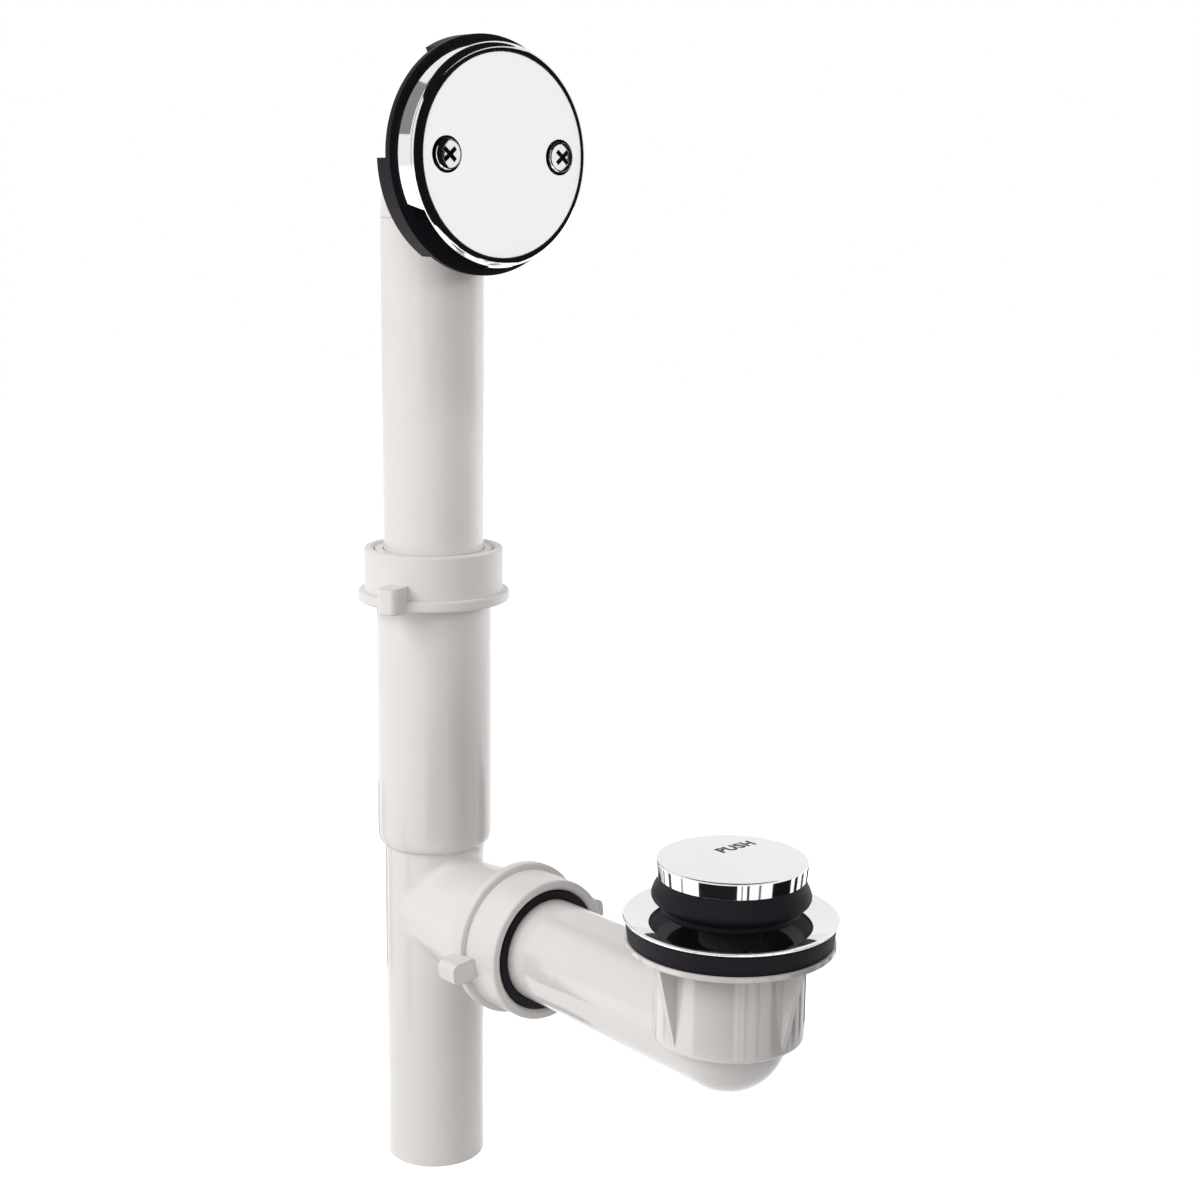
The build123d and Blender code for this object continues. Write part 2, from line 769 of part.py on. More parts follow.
# Screw on top of the post that keeps the rotor on its neck
with BuildPart() as post_screw:
    with BuildSketch(drain_plane(post_top_z)):
        Circle(post_screw_head_r)
    extrude(amount=post_screw_head_height)
    chamfer(post_screw.edges().group_by(Axis.Z)[-1], length=0.5)
    with BuildSketch(drain_plane(post_top_z)):
        Circle(post_screw_r)
    extrude(amount=-post_screw_length)
    with BuildSketch(drain_plane(post_screw_top_z)):
        RegularPolygon(radius=2.2, side_count=6)
    extrude(amount=-1.4, mode=Mode.SUBTRACT)
save(post_screw.part, "post_screw")

# Latch rotor: ring with lugs that hold the stopper down
with BuildPart() as stopper_rotor:
    with BuildSketch(drain_plane(rotor_foot_z)):
        Circle(rotor_r)
        Circle(post_neck_r + guide_clearance, mode=Mode.SUBTRACT)
    extrude(amount=rotor_height)
    with BuildSketch(drain_plane(rotor_foot_z)):
        for lug in range(latch_count):
            lug_start = rotor_lug_turn + lug * 360 / latch_count - rotor_lug_angle / 2
            with BuildLine():
                draw_sector(rotor_r - 0.5, rotor_lug_r, lug_start, rotor_lug_angle)
            make_face()
    extrude(amount=rotor_lug_height)
save(stopper_rotor.part, "stopper_rotor")

# Stopper spring: coil round the post, from the crossbar's hub to the plunger's guide
with BuildPart() as stopper_spring:
    spring_foot_z = crossbar_top_z + spring_wire_r
    spring_rise = guide_foot_z - crossbar_top_z - 2 * spring_wire_r - flat_gap
    with BuildLine():
        coil = Helix(
            pitch=spring_rise / spring_turns,
            height=spring_rise,
            radius=spring_r,
            center=(drain_reach, 0, spring_foot_z),
        )
    with BuildSketch(Plane(origin=coil @ 0, z_dir=coil % 0)):
        Circle(spring_wire_r)
    sweep()
save(stopper_spring.part, "stopper_spring")

# Plunger: stem that slides on the post, latch ribs, seal hub and the head inside the cap
plunger_top_z = cap_foot_z + cap_gap + plunger_head_thickness
with BuildPart() as stopper_plunger:
    with BuildSketch(drain_section):
        with BuildLine():
            Polyline(
                (spring_pocket_r, stem_foot_z),
                (stem_r - 0.5, stem_foot_z),
                (stem_r, stem_foot_z + 0.5),
                (stem_r, seal_foot_z + retainer_thickness),
                (seal_bore_r - glue_gap, seal_foot_z + retainer_thickness),
                (seal_bore_r - glue_gap, cap_foot_z),
                (cap_r - cap_sheet - glue_gap, cap_foot_z),
                (cap_r - cap_sheet - glue_gap, plunger_top_z),
                (chamber_r, plunger_top_z),
                (chamber_r, guide_top_z),
                (post_r + guide_clearance, guide_top_z),
                (post_r + guide_clearance, guide_foot_z),
                (spring_pocket_r, guide_foot_z),
                close=True,
            )
        make_face()
    revolve(axis=drain_axis)
    with BuildSketch(drain_plane(latch_rib_z)):
        for rib in range(latch_count):
            rib_start = (rib + 0.5) * 360 / latch_count - latch_rib_angle / 2
            with BuildLine():
                draw_sector(latch_rib_inner_r, chamber_r + 0.5, rib_start, latch_rib_angle)
            make_face()
    extrude(amount=latch_rib_height)
save(stopper_plunger.part, "stopper_plunger")

# Retainer: ring under the seal, screwed on the plunger's stem
with BuildPart() as seal_retainer:
    with BuildSketch(drain_plane(seal_foot_z)):
        Circle(retainer_r)
        Circle(stem_r + glue_gap, mode=Mode.SUBTRACT)
        with PolarLocations((retainer_r + stem_r) / 2, 4):
            Circle(1.6, mode=Mode.SUBTRACT)
    extrude(amount=retainer_thickness - flat_gap)
save(seal_retainer.part, "seal_retainer")

# Stopper seal: fat rubber ring that bulges past the cap and seats in the drain's mouth
with BuildPart() as stopper_seal:
    with BuildSketch(drain_section):
        with BuildLine():
            Polyline(
                (seal_top_r, seal_top_z),
                (seal_bore_r, seal_top_z),
                (seal_bore_r, seal_foot_z + retainer_thickness + flat_gap),
                (retainer_r + glue_gap, seal_foot_z + retainer_thickness + flat_gap),
                (retainer_r + glue_gap, seal_foot_z),
                (seal_foot_r, seal_foot_z),
            )
            Spline(
                (seal_foot_r, seal_foot_z),
                (seal_bulge_r, seal_foot_z + seal_bulge_rise),
                (seal_top_r, seal_top_z),
                tangents=[(1.0, 0.95), (-1.0, 0.45)],
            )
        make_face()
    revolve(axis=drain_axis)
save(stopper_seal.part, "stopper_seal")

# Stopper cap: slightly domed chrome cup over the plunger's head
with BuildPart() as stopper_cap:
    with BuildSketch(drain_section):
        with BuildLine():
            inner_r = cap_r - cap_sheet
            Line((0, cap_ceiling_z), (0, cap_top_z))
            ThreePointArc(
                (0, cap_top_z),
                (0.5 * cap_r, cap_top_z - 0.26 * cap_dome),
                (cap_r - cap_edge, cap_top_z - cap_dome),
            )
            RadiusArc(
                (cap_r - cap_edge, cap_top_z - cap_dome),
                (cap_r, cap_top_z - cap_dome - cap_edge),
                cap_edge,
            )
            Polyline(
                (cap_r, cap_top_z - cap_dome - cap_edge),
                (cap_r, cap_foot_z),
                (inner_r, cap_foot_z),
                (inner_r, cap_ceiling_z - cap_dome),
                (0, cap_ceiling_z),
            )
        make_face()
    revolve(axis=drain_axis)
save(stopper_cap.part, "stopper_cap")
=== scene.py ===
"""Looks of a bath waste and overflow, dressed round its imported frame.

The riser stands on the Z axis, the outlet tail ends at the origin and the bath drain lies along +X.
Lengths are in metres, and sizes written with MM are read as millimetres.
"""

import logging
from collections.abc import Callable, Sequence
from dataclasses import dataclass, replace
from enum import Enum
from math import atan2, cos, pi, radians, sin

import bpy
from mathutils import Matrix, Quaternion, Vector

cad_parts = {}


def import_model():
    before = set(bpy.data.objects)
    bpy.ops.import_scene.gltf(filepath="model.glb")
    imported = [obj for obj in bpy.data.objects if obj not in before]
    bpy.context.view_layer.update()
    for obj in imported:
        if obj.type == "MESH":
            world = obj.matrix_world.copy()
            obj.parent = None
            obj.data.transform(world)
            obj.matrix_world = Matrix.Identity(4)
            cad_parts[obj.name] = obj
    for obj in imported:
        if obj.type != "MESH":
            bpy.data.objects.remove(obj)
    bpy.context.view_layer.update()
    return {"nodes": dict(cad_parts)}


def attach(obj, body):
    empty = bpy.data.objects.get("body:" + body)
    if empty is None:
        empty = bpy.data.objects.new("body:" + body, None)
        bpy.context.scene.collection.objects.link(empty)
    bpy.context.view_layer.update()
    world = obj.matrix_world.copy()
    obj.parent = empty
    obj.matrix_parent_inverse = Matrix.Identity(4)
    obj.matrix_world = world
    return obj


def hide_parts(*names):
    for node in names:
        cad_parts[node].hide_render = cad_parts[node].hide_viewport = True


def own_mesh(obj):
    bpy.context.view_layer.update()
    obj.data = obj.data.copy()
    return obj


LOG = logging.getLogger("bath_waste")
MM = 0.001
PHOTO_PIXELS = 1200
DRAIN_X = 163.3 * MM
OVERFLOW_Z = 391.0 * MM
Colour = tuple[float, float, float]
Point = tuple[float, float, float]
Profile = Sequence[tuple[float, float]]
Socket = bpy.types.NodeSocket
Tree = bpy.types.NodeTree
Node = bpy.types.Node
Material = bpy.types.Material
Piece = bpy.types.Object


class Body(Enum):
    """The bodies that a piece can ride on."""

    OVERFLOW = "overflow"
    DRAIN = "drain"
    STOPPER = "stopper"


class Slot(Enum):
    """Names of material slots that new pieces are handed over with; nothing reads them."""

    RUBBER = "rubber"
    CHROME = "chrome"
    STEEL = "steel"


class Wiring:
    """Adds shader nodes to one tree and joins their sockets."""

    def __init__(self, tree: Tree) -> None:
        """Keep a material's, world's or group's tree, emptied of its first nodes."""
        self.tree = tree
        tree.nodes.clear()

    def add(self, kind: str, **settings: object) -> Node:
        """Add a node.

        Args:
            kind: The node's type, without the leading ShaderNode.
            settings: Attributes to set, or inputs to fill where the node has no such attribute.

        Returns:
            The new node.
        """
        prefix = "" if kind.startswith("NodeGroup") else "ShaderNode"
        node = self.tree.nodes.new(prefix + kind)
        for name, value in settings.items():
            if hasattr(node, name):
                setattr(node, name, value)
            else:
                self.fill(node, **{name: value})
        return node

    def fill(self, node: Node, **values: object) -> None:
        """Fill a node's inputs, whose names have low lines for spaces."""
        for name, value in values.items():
            self.feed(value, node.inputs[name.replace("_", " ")])

    def join(self, source: Socket, target: Socket) -> None:
        """Join an output socket to an input socket."""
        self.tree.links.new(source, target)

    def feed(self, value: object, target: Socket) -> None:
        """Join a socket to an input, or write a plain value in it."""
        if isinstance(value, Socket):
            self.join(value, target)
        else:
            target.default_value = value

    def maths(self, operation: str, first: object, second: object = 0.0) -> Socket:
        """Add a Math node.

        Args:
            operation: The Math node's operation.
            first: A socket or a number.
            second: A socket or a number.

        Returns:
            The node's output socket.
        """
        node = self.add("Math", operation=operation)
        for place, value in enumerate((first, second)):
            self.feed(value, node.inputs[place])
        return node.outputs[0]

    def blend(self, share: Socket, low: object, high: object) -> Socket:
        """Mix two colours by a share that changes over the surface.

        Args:
            share: Where the mix reads how much of the second colour it takes.
            low: The colour, or a socket that gives it, at a share of nothing.
            high: The colour, or a socket that gives it, at a full share.

        Returns:
            The mixed colour's socket.
        """
        node = self.add("Mix", data_type="RGBA")
        self.join(share, node.inputs["Factor"])
        sides = [socket for socket in node.inputs if socket.type == "RGBA"]
        for socket, value in zip(sides, (low, high)):
            self.feed(value if isinstance(value, Socket) else (*value, 1), socket)
        return next(socket for socket in node.outputs if socket.type == "RGBA")

    def span(self, share: Socket, low: object, high: object) -> Socket:
        """Spread a share from nought to one over a range of values, each a number or a socket."""
        node = self.add("MapRange")
        self.join(share, node.inputs["Value"])
        for label, value in (("To Min", low), ("To Max", high)):
            self.feed(value, node.inputs[label])
        return node.outputs["Result"]

    def radius(self, place: Socket, centre: Sequence[float]) -> tuple[Socket, Socket]:
        """Measure how far a place is from an upright axis, and its height.

        Args:
            place: The place's vector socket.
            centre: The axis's X and Y.

        Returns:
            The distance's socket and the height's socket.
        """
        split = self.add("SeparateXYZ")
        self.join(place, split.inputs[0])
        across = [self.maths("SUBTRACT", split.outputs[axis], value) for axis, value in zip("XY", centre)]
        squares = [self.maths("MULTIPLY", value, value) for value in across]
        return self.maths("SQRT", self.maths("ADD", *squares)), split.outputs["Z"]


def grey(tone: float) -> tuple[float, float, float, float]:
    """A solid grey of a brightness."""
    return tone, tone, tone, 1.0


def new_material(name: str) -> tuple[Material, Wiring]:
    """Make an empty material and the wiring of its nodes."""
    material = bpy.data.materials.new(name)
    material.use_nodes = True
    return material, Wiring(material.node_tree)


Started = tuple[Tree, Wiring, Node, Node]


def new_group(name: str, numbers: dict[str, float], outputs: Sequence[str]) -> Started:
    """Start a shader node group that reads a place and some numbers.

    Args:
        name: The group's name.
        numbers: Its number inputs, with their first values.
        outputs: The names of its value outputs.

    Returns:
        The group, its wiring, its input node and its output node.
    """
    tree = bpy.data.node_groups.new(name, "ShaderNodeTree")
    tree.interface.new_socket("Place", in_out="INPUT", socket_type="NodeSocketVector")
    for label, value in numbers.items():
        tree.interface.new_socket(label, in_out="INPUT", socket_type="NodeSocketFloat").default_value = value
    for label in outputs:
        tree.interface.new_socket(label, in_out="OUTPUT", socket_type="NodeSocketFloat")
    wiring = Wiring(tree)
    return tree, wiring, wiring.add("NodeGroupInput"), wiring.add("NodeGroupOutput")


class EffectGroups:
    """Surface effects that several finishes share."""

    SPECKS_PER_CLOUD = 9.0
    SPECK_SIZE = 0.07
    RING_WANDER = 6.0
    WAVES_PER_SMEAR = 2.6
    HAIRLINE_EDGE = 0.66

    def __init__(self) -> None:
        """Build each group once."""
        self.moulded = self.build_moulded()
        self.turned = self.build_turned()
        self.handled = self.build_handled()

    def build_moulded(self) -> Tree:
        """Soft clouding, a fine pebbled skin and stray specks, as on an injection moulding."""
        outputs = ("Clouding", "Pebbles", "Specks")
        tree, wiring, given, made = new_group("moulded_skin", {"Cloud": 30.0, "Pebble": 1500.0}, outputs)
        place, cloud_size, pebble_size = (given.outputs[name] for name in ("Place", "Cloud", "Pebble"))
        cloud = wiring.add("TexNoise", Vector=place, Scale=cloud_size, Detail=3.0, Roughness=0.55)
        pebble = wiring.add("TexNoise", Vector=place, Scale=pebble_size, Detail=2.0, Roughness=0.5)
        fineness = wiring.maths("MULTIPLY", cloud_size, self.SPECKS_PER_CLOUD)
        cells = wiring.add("TexVoronoi", Vector=place, Scale=fineness)
        specks = wiring.maths("LESS_THAN", cells.outputs["Distance"], self.SPECK_SIZE)
        wiring.fill(made, Clouding=cloud.outputs["Fac"], Pebbles=pebble.outputs["Fac"], Specks=specks)
        return tree

    def build_turned(self) -> Tree:
        """Fine rings round the Z axis, as a lathe tool leaves them, and the wear over them."""
        numbers = {"Pitch": 9000.0, "Wander": 0.4}
        tree, wiring, given, made = new_group("turned_rings", numbers, ("Rings", "Wear"))
        place = given.outputs["Place"]
        away, height = wiring.radius(place, (0.0, 0.0))
        wear = wiring.add("TexNoise", Vector=place, Scale=420.0, Detail=3.0).outputs["Fac"]
        wander = wiring.maths("MULTIPLY", wear, given.outputs["Wander"])
        run = wiring.maths("MULTIPLY", wiring.maths("ADD", away, height), given.outputs["Pitch"])
        phase = wiring.maths("ADD", run, wiring.maths("MULTIPLY", wander, self.RING_WANDER))
        rings = wiring.maths("MULTIPLY", wiring.maths("ADD", wiring.maths("SINE", phase), 1.0), 0.5)
        wiring.fill(made, Rings=rings, Wear=wear)
        return tree

    def build_handled(self) -> Tree:
        """Hairline scratches, faint smears and the slight waviness of plated metal."""
        outputs = ("Hairlines", "Smears", "Waves")
        tree, wiring, given, made = new_group("handled_plating", {"Hair": 260.0, "Smear": 35.0}, outputs)
        place, hair_size, smear_size = (given.outputs[name] for name in ("Place", "Hair", "Smear"))
        drawn = wiring.add("Mapping", Vector=place, Rotation=(0.5, 0.9, 0.35), Scale=(1.0, 14.0, 1.0))
        along = drawn.outputs["Vector"]
        hair = wiring.add("TexNoise", Vector=along, Scale=hair_size, Detail=6.0, Roughness=0.7)
        smear = wiring.add(
            "TexNoise", Vector=place, Scale=smear_size, Detail=4.0, Roughness=0.6, Distortion=0.6
        )
        fineness = wiring.maths("MULTIPLY", smear_size, self.WAVES_PER_SMEAR)
        waves = wiring.add("TexNoise", Vector=place, Scale=fineness, Detail=1.0)
        lines = wiring.maths("GREATER_THAN", hair.outputs["Fac"], self.HAIRLINE_EDGE)
        wiring.fill(made, Hairlines=lines, Smears=smear.outputs["Fac"], Waves=waves.outputs["Fac"])
        return tree


@dataclass(frozen=True)
class Finish:
    """What every finish has: a name, two tones, its roughness, its gloss and how soft its edges are."""

    name: str
    light_tone: Colour
    dark_tone: Colour
    smoothest: float
    roughest: float
    edge_radius: float = 0.4 * MM
    gloss: float = 0.5

    def start(self) -> tuple[Material, Wiring, Node, Socket, Socket]:
        """Start the material.

        Returns:
            The material, its wiring, its shader, the place socket and the normal of its softened edges.
        """
        material, wiring = new_material(self.name)
        shader = wiring.add("BsdfPrincipled", Specular_IOR_Level=self.gloss)
        wiring.add("OutputMaterial", Surface=shader.outputs["BSDF"])
        place = wiring.add("TexCoord").outputs["Object"]
        edges = wiring.add("Bevel", samples=4, Radius=self.edge_radius)
        return material, wiring, shader, place, edges.outputs["Normal"]

    @staticmethod
    def relief(
        wiring: Wiring, shader: Node, height: Socket, normal: Socket, strength: float, depth: float
    ) -> None:
        """Lay a bump of a height, a strength and a depth in metres over the softened edges."""
        bump = wiring.add("Bump", Strength=strength, Distance=depth, Height=height, Normal=normal)
        wiring.fill(shader, Normal=bump.outputs["Normal"])

    @staticmethod
    def grouped(
        wiring: Wiring, tree: Tree, place: Socket, **numbers: float
    ) -> Node:
        """Place a shared effect in a material with its own numbers."""
        return wiring.add("Group", node_tree=tree, Place=place, **numbers)


@dataclass(frozen=True)
class MouldedFinish(Finish):
    """Moulded plastic or rubber with a clouded, finely pebbled skin."""

    cloud: float = 30.0
    pebble: float = 1500.0
    relief_strength: float = 0.12
    relief_depth: float = 0.06 * MM
    speck_tone: Colour | None = None

    def build(self, groups: EffectGroups) -> Material:
        """Make the material from the shared effects."""
        material, wiring, shader, place, edges = self.start()
        skin = self.grouped(wiring, groups.moulded, place, Cloud=self.cloud, Pebble=self.pebble).outputs
        tone = wiring.blend(skin["Clouding"], self.dark_tone, self.light_tone)
        if self.speck_tone:
            tone = wiring.blend(skin["Specks"], tone, self.speck_tone)
        rough = wiring.span(skin["Clouding"], self.smoothest, self.roughest)
        wiring.fill(shader, Base_Color=tone, Roughness=rough)
        self.relief(wiring, shader, skin["Pebbles"], edges, self.relief_strength, self.relief_depth)
        return material


@dataclass(frozen=True)
class PlatedFinish(Finish):
    """Bright plating with hairlines, faint smears and slight waves, and painted shade in a bore if one is
    given: there the tone turns dark, rougher and less metallic.
    """

    hair: float = 260.0
    smear: float = 35.0
    wave_strength: float = 0.03
    bore_centre: tuple[float, float] | None = None
    bore_radius: float = 0.0
    bore_top: float = 0.0
    bore_painted_shade_tone: Colour = (0.09, 0.076, 0.1)
    bore_roughness: float = 0.5
    bore_metallic: float = 0.3
    hair_share: float = 0.35
    wave_depth: float = 0.2 * MM

    def build(self, groups: EffectGroups) -> Material:
        """Make the material from the shared effects."""
        material, wiring, shader, place, edges = self.start()
        plating = self.grouped(wiring, groups.handled, place, Hair=self.hair, Smear=self.smear).outputs
        tone = wiring.blend(plating["Smears"], self.light_tone, self.dark_tone)
        hairs = wiring.maths("MULTIPLY", plating["Hairlines"], self.hair_share)
        smears = wiring.maths("MULTIPLY", plating["Smears"], 1.0 - self.hair_share)
        rough = wiring.span(wiring.maths("ADD", hairs, smears), self.smoothest, self.roughest)
        metallic: object = 1.0
        # Painted shade: inside the bore's radius and below its top the plating turns to the dark tone, for
        # the dark reflection in the drain's mouth.
        if self.bore_centre:
            away, height = wiring.radius(place, self.bore_centre)
            near = wiring.maths("LESS_THAN", away, self.bore_radius)
            below = wiring.maths("LESS_THAN", height, self.bore_top)
            inside = wiring.maths("MULTIPLY", near, below)
            tone = wiring.blend(inside, tone, self.bore_painted_shade_tone)
            rough = wiring.span(inside, rough, self.bore_roughness)
            metallic = wiring.span(inside, 1.0, self.bore_metallic)
        wiring.fill(shader, Base_Color=tone, Roughness=rough, Metallic=metallic)
        self.relief(wiring, shader, plating["Waves"], edges, self.wave_strength, self.wave_depth)
        return material


@dataclass(frozen=True)
class TurnedFinish(Finish):
    """Bare metal with rings left by turning, round an axis of its own."""

    centre: Point = (0.0, 0.0, 0.0)
    turn: Point = (0.0, 0.0, 0.0)
    pitch: float = 9000.0
    ring_strength: float = 0.25
    ring_depth: float = 0.02 * MM

    def build(self, groups: EffectGroups) -> Material:
        """Make the material from the shared effects."""
        material, wiring, shader, place, edges = self.start()
        turned = wiring.add(
            "Mapping", vector_type="TEXTURE", Vector=place, Location=self.centre, Rotation=self.turn
        )
        rings = self.grouped(wiring, groups.turned, turned.outputs["Vector"], Pitch=self.pitch).outputs
        tone = wiring.blend(rings["Wear"], self.light_tone, self.dark_tone)
        rough = wiring.span(rings["Wear"], self.smoothest, self.roughest)
        wiring.fill(shader, Base_Color=tone, Roughness=rough, Metallic=1.0)
        self.relief(wiring, shader, rings["Rings"], edges, self.ring_strength, self.ring_depth)
        return material


WHITE_PLASTIC = MouldedFinish(
    "white_pvc", (0.81, 0.777, 0.755), (0.75, 0.717, 0.695), 0.18, 0.27, 0.6 * MM, 0.6
)
SHOE_PLASTIC = MouldedFinish(
    "glossy_shoe_pvc", (0.77, 0.738, 0.717), (0.71, 0.678, 0.657), 0.09, 0.15, 0.6 * MM, 1.0,
    relief_strength=0.06,
)
NUT_PLASTIC = MouldedFinish(
    "white_nut_plastic", (0.82, 0.79, 0.768), (0.75, 0.72, 0.698), 0.28, 0.4, 0.8 * MM,
    pebble=1900.0, relief_strength=0.2,
)
RUBBER = MouldedFinish(
    "black_rubber", (0.0155, 0.0128, 0.018), (0.011, 0.0091, 0.0128), 0.4, 0.6, 0.5 * MM, 0.1,
    cloud=60.0, pebble=2600.0, relief_strength=0.3, relief_depth=0.1 * MM, speck_tone=(0.026, 0.023, 0.029),
)
GREY_PLASTIC = MouldedFinish(
    "dark_grey_acetal", (0.05, 0.05, 0.052), (0.03, 0.03, 0.032), 0.4, 0.55, 0.3 * MM, 0.3, cloud=80.0
)
CHROME = PlatedFinish("bright_chrome", (0.86, 0.845, 0.832), (0.82, 0.805, 0.792), 0.045, 0.1, 0.25 * MM)
# The drain body's plating, with painted shade in its bore below the mouth.
DRAIN_CHROME_BORE_SHADE = replace(
    CHROME,
    name="drain_chrome_bore_shade",
    bore_centre=(DRAIN_X, 0.0),
    bore_radius=27.3 * MM,
    bore_top=142.25 * MM,
)
# Dark plating in the screw dimples: painted shade and painted reflection of dark things round the plate.
DIMPLE_SHADE_CHROME = PlatedFinish(
    "dimple_shade_chrome", (0.06, 0.055, 0.06), (0.03, 0.028, 0.03), 0.2, 0.35, 0.1 * MM,
    hair=600.0, smear=220.0,
)
SCREW_CHROME = PlatedFinish(
    "screw_chrome", (0.84, 0.83, 0.82), (0.74, 0.73, 0.72), 0.06, 0.14, 0.15 * MM,
    hair=600.0, smear=220.0,
)
POST_BRASS = TurnedFinish(
    "turned_post_brass", (0.72, 0.53, 0.26), (0.55, 0.39, 0.17), 0.2, 0.34, 0.2 * MM,
    centre=(DRAIN_X, 0.0, 0.0),
)
INSERT_BRASS = TurnedFinish(
    "turned_insert_brass", (0.70, 0.51, 0.24), (0.52, 0.37, 0.16), 0.24, 0.4, 0.2 * MM,
    centre=(0.0, 25.2 * MM, OVERFLOW_Z), turn=(0.0, pi / 2, 0.0),
)
STEEL = TurnedFinish(
    "drawn_steel", (0.60, 0.60, 0.61), (0.46, 0.46, 0.47), 0.16, 0.3, 0.1 * MM,
    centre=(DRAIN_X, 0.0, 0.0), pitch=12000.0,
)
# Dark tone of the cap's letters, and painted shade in the screws' cross recesses.
LETTERS_AND_RECESS_SHADE = MouldedFinish(
    "dark_letters_and_recess_shade", (0.014, 0.012, 0.014), (0.008, 0.007, 0.008), 0.4, 0.55, 0.05 * MM, 0.3, cloud=400.0
)

CARRIED_NODES: dict[Finish, tuple[str, ...]] = {
    WHITE_PLASTIC: ("waste_tee", "extension_socket", "riser_tube", "overflow_elbow"),
    SHOE_PLASTIC: ("drain_shoe",),
    NUT_PLASTIC: ("upper_slip_nut", "lower_slip_nut", "upper_slip_washer"),
    RUBBER: ("lower_slip_washer", "overflow_gasket", "drain_gasket", "stopper_seal"),
    GREY_PLASTIC: ("stopper_rotor", "stopper_plunger", "seal_retainer"),
    CHROME: ("overflow_plate", "stopper_cap"),
    DRAIN_CHROME_BORE_SHADE: ("drain_body",),
    SCREW_CHROME: ("plate_screw_left", "plate_screw_right"),
    POST_BRASS: ("stopper_post",),
    INSERT_BRASS: ("insert_left", "insert_right"),
    STEEL: ("post_screw", "stopper_spring"),
}
Palette = dict[Finish, Material]


def deselect() -> None:
    """Leave nothing selected and no mesh in edit mode."""
    if bpy.context.object and bpy.context.object.mode != "OBJECT":
        bpy.ops.object.mode_set(mode="OBJECT")
    bpy.ops.object.select_all(action="DESELECT")


def activate(piece: Piece) -> Piece:
    """Select one piece alone and make it active."""
    deselect()
    piece.select_set(True)
    bpy.context.view_layer.objects.active = piece
    return piece


def open_mesh() -> None:
    """Open the active piece's mesh with all of it selected."""
    bpy.ops.object.mode_set(mode="EDIT")
    bpy.ops.mesh.select_all(action="SELECT")


def close_mesh() -> None:
    """Turn the selected faces outwards and leave edit mode."""
    bpy.ops.mesh.normals_make_consistent(inside=False)
    bpy.ops.object.mode_set(mode="OBJECT")


def settle(piece: Piece, smooth_angle: float = 35.0) -> Piece:
    """Put the piece's place in its mesh and shade it smooth across shallow edges."""
    activate(piece)
    bpy.ops.object.transform_apply(location=True, rotation=True, scale=True)
    bpy.ops.object.shade_smooth_by_angle(angle=radians(smooth_angle))
    return piece


def apply_change(piece: Piece, kind: str, **settings: object) -> None:
    """Add a modifier with its settings and apply it.

    Args:
        piece: The piece to change.
        kind: The modifier's type.
        settings: The modifier's settings.
    """
    activate(piece)
    change = piece.modifiers.new(kind.lower(), kind)
    for name, value in settings.items():
        setattr(change, name, value)
    bpy.ops.object.modifier_apply(modifier=change.name)


def combine(piece: Piece, tool: Piece, operation: str = "DIFFERENCE") -> None:
    """Cut a tool's shape from the piece, or add it, with the tool's material, and remove the tool."""
    apply_change(piece, "BOOLEAN", object=tool, operation=operation, solver="EXACT", material_mode="TRANSFER")
    bpy.data.objects.remove(tool, do_unlink=True)


def select_points(piece: Piece, wanted: Callable[[Vector], bool]) -> None:
    """Select the points of a piece in edit mode by their place.

    Args:
        piece: The piece, in edit mode.
        wanted: Says of a place whether its point is selected.
    """
    bpy.ops.mesh.select_mode(type="VERT")
    bpy.ops.mesh.select_all(action="DESELECT")
    bpy.ops.object.mode_set(mode="OBJECT")
    for vertex in piece.data.vertices:
        vertex.select = wanted(piece.matrix_world @ vertex.co)
    bpy.ops.object.mode_set(mode="EDIT")


@dataclass(frozen=True)
class Lathe:
    """An axis that profiles are turned round, with the direction in which a profile is first drawn."""

    centre: Point
    axis: Point
    outwards: Point

    def point(self, radius: float, height: float) -> Vector:
        """The place at a radius from the axis and a height along it."""
        return Vector(self.centre) + Vector(self.outwards) * radius + Vector(self.axis) * height

    def turn(self, name: str, profile: Profile, steps: int = 128, sweep: float = 2 * pi) -> Piece:
        """Draw a profile from one point and turn it round the axis.

        Args:
            name: The piece's name.
            profile: Radii and heights, in order.
            steps: How many steps the turn has.
            sweep: How far it turns.

        Returns:
            The turned piece, with its doubles merged, its ends closed and its faces outwards.
        """
        deselect()
        place = self.point(*profile[0])
        bpy.ops.mesh.primitive_plane_add(size=1 * MM, location=place)
        piece = bpy.context.object
        piece.name = name
        piece.data.name = name
        open_mesh()
        bpy.ops.mesh.merge(type="CENTER")
        for radius, height in profile[1:]:
            target = self.point(radius, height)
            bpy.ops.mesh.extrude_vertices_move(TRANSFORM_OT_translate={"value": target - place})
            place = target
        bpy.ops.mesh.select_all(action="SELECT")
        bpy.ops.mesh.spin(steps=steps, angle=-sweep, center=self.centre, axis=self.axis)
        bpy.ops.mesh.select_all(action="SELECT")
        bpy.ops.mesh.remove_doubles(threshold=0.001 * MM)
        if profile[0] == profile[-1] and sweep < 2 * pi:
            bpy.ops.mesh.fill_holes(sides=0)
        close_mesh()
        return piece


def arc(
    centre: tuple[float, float], radius: float, start: float, end: float, steps: int
) -> list[tuple[float, float]]:
    """Points of a profile's rounding between two angles in degrees, counted from straight outwards."""
    angles = [radians(start + (end - start) * step / steps) for step in range(steps + 1)]
    return [(centre[0] + radius * cos(angle), centre[1] + radius * sin(angle)) for angle in angles]


DRAIN_LATHE = Lathe((DRAIN_X, 0, 0), (0, 0, 1), (1, 0, 0))


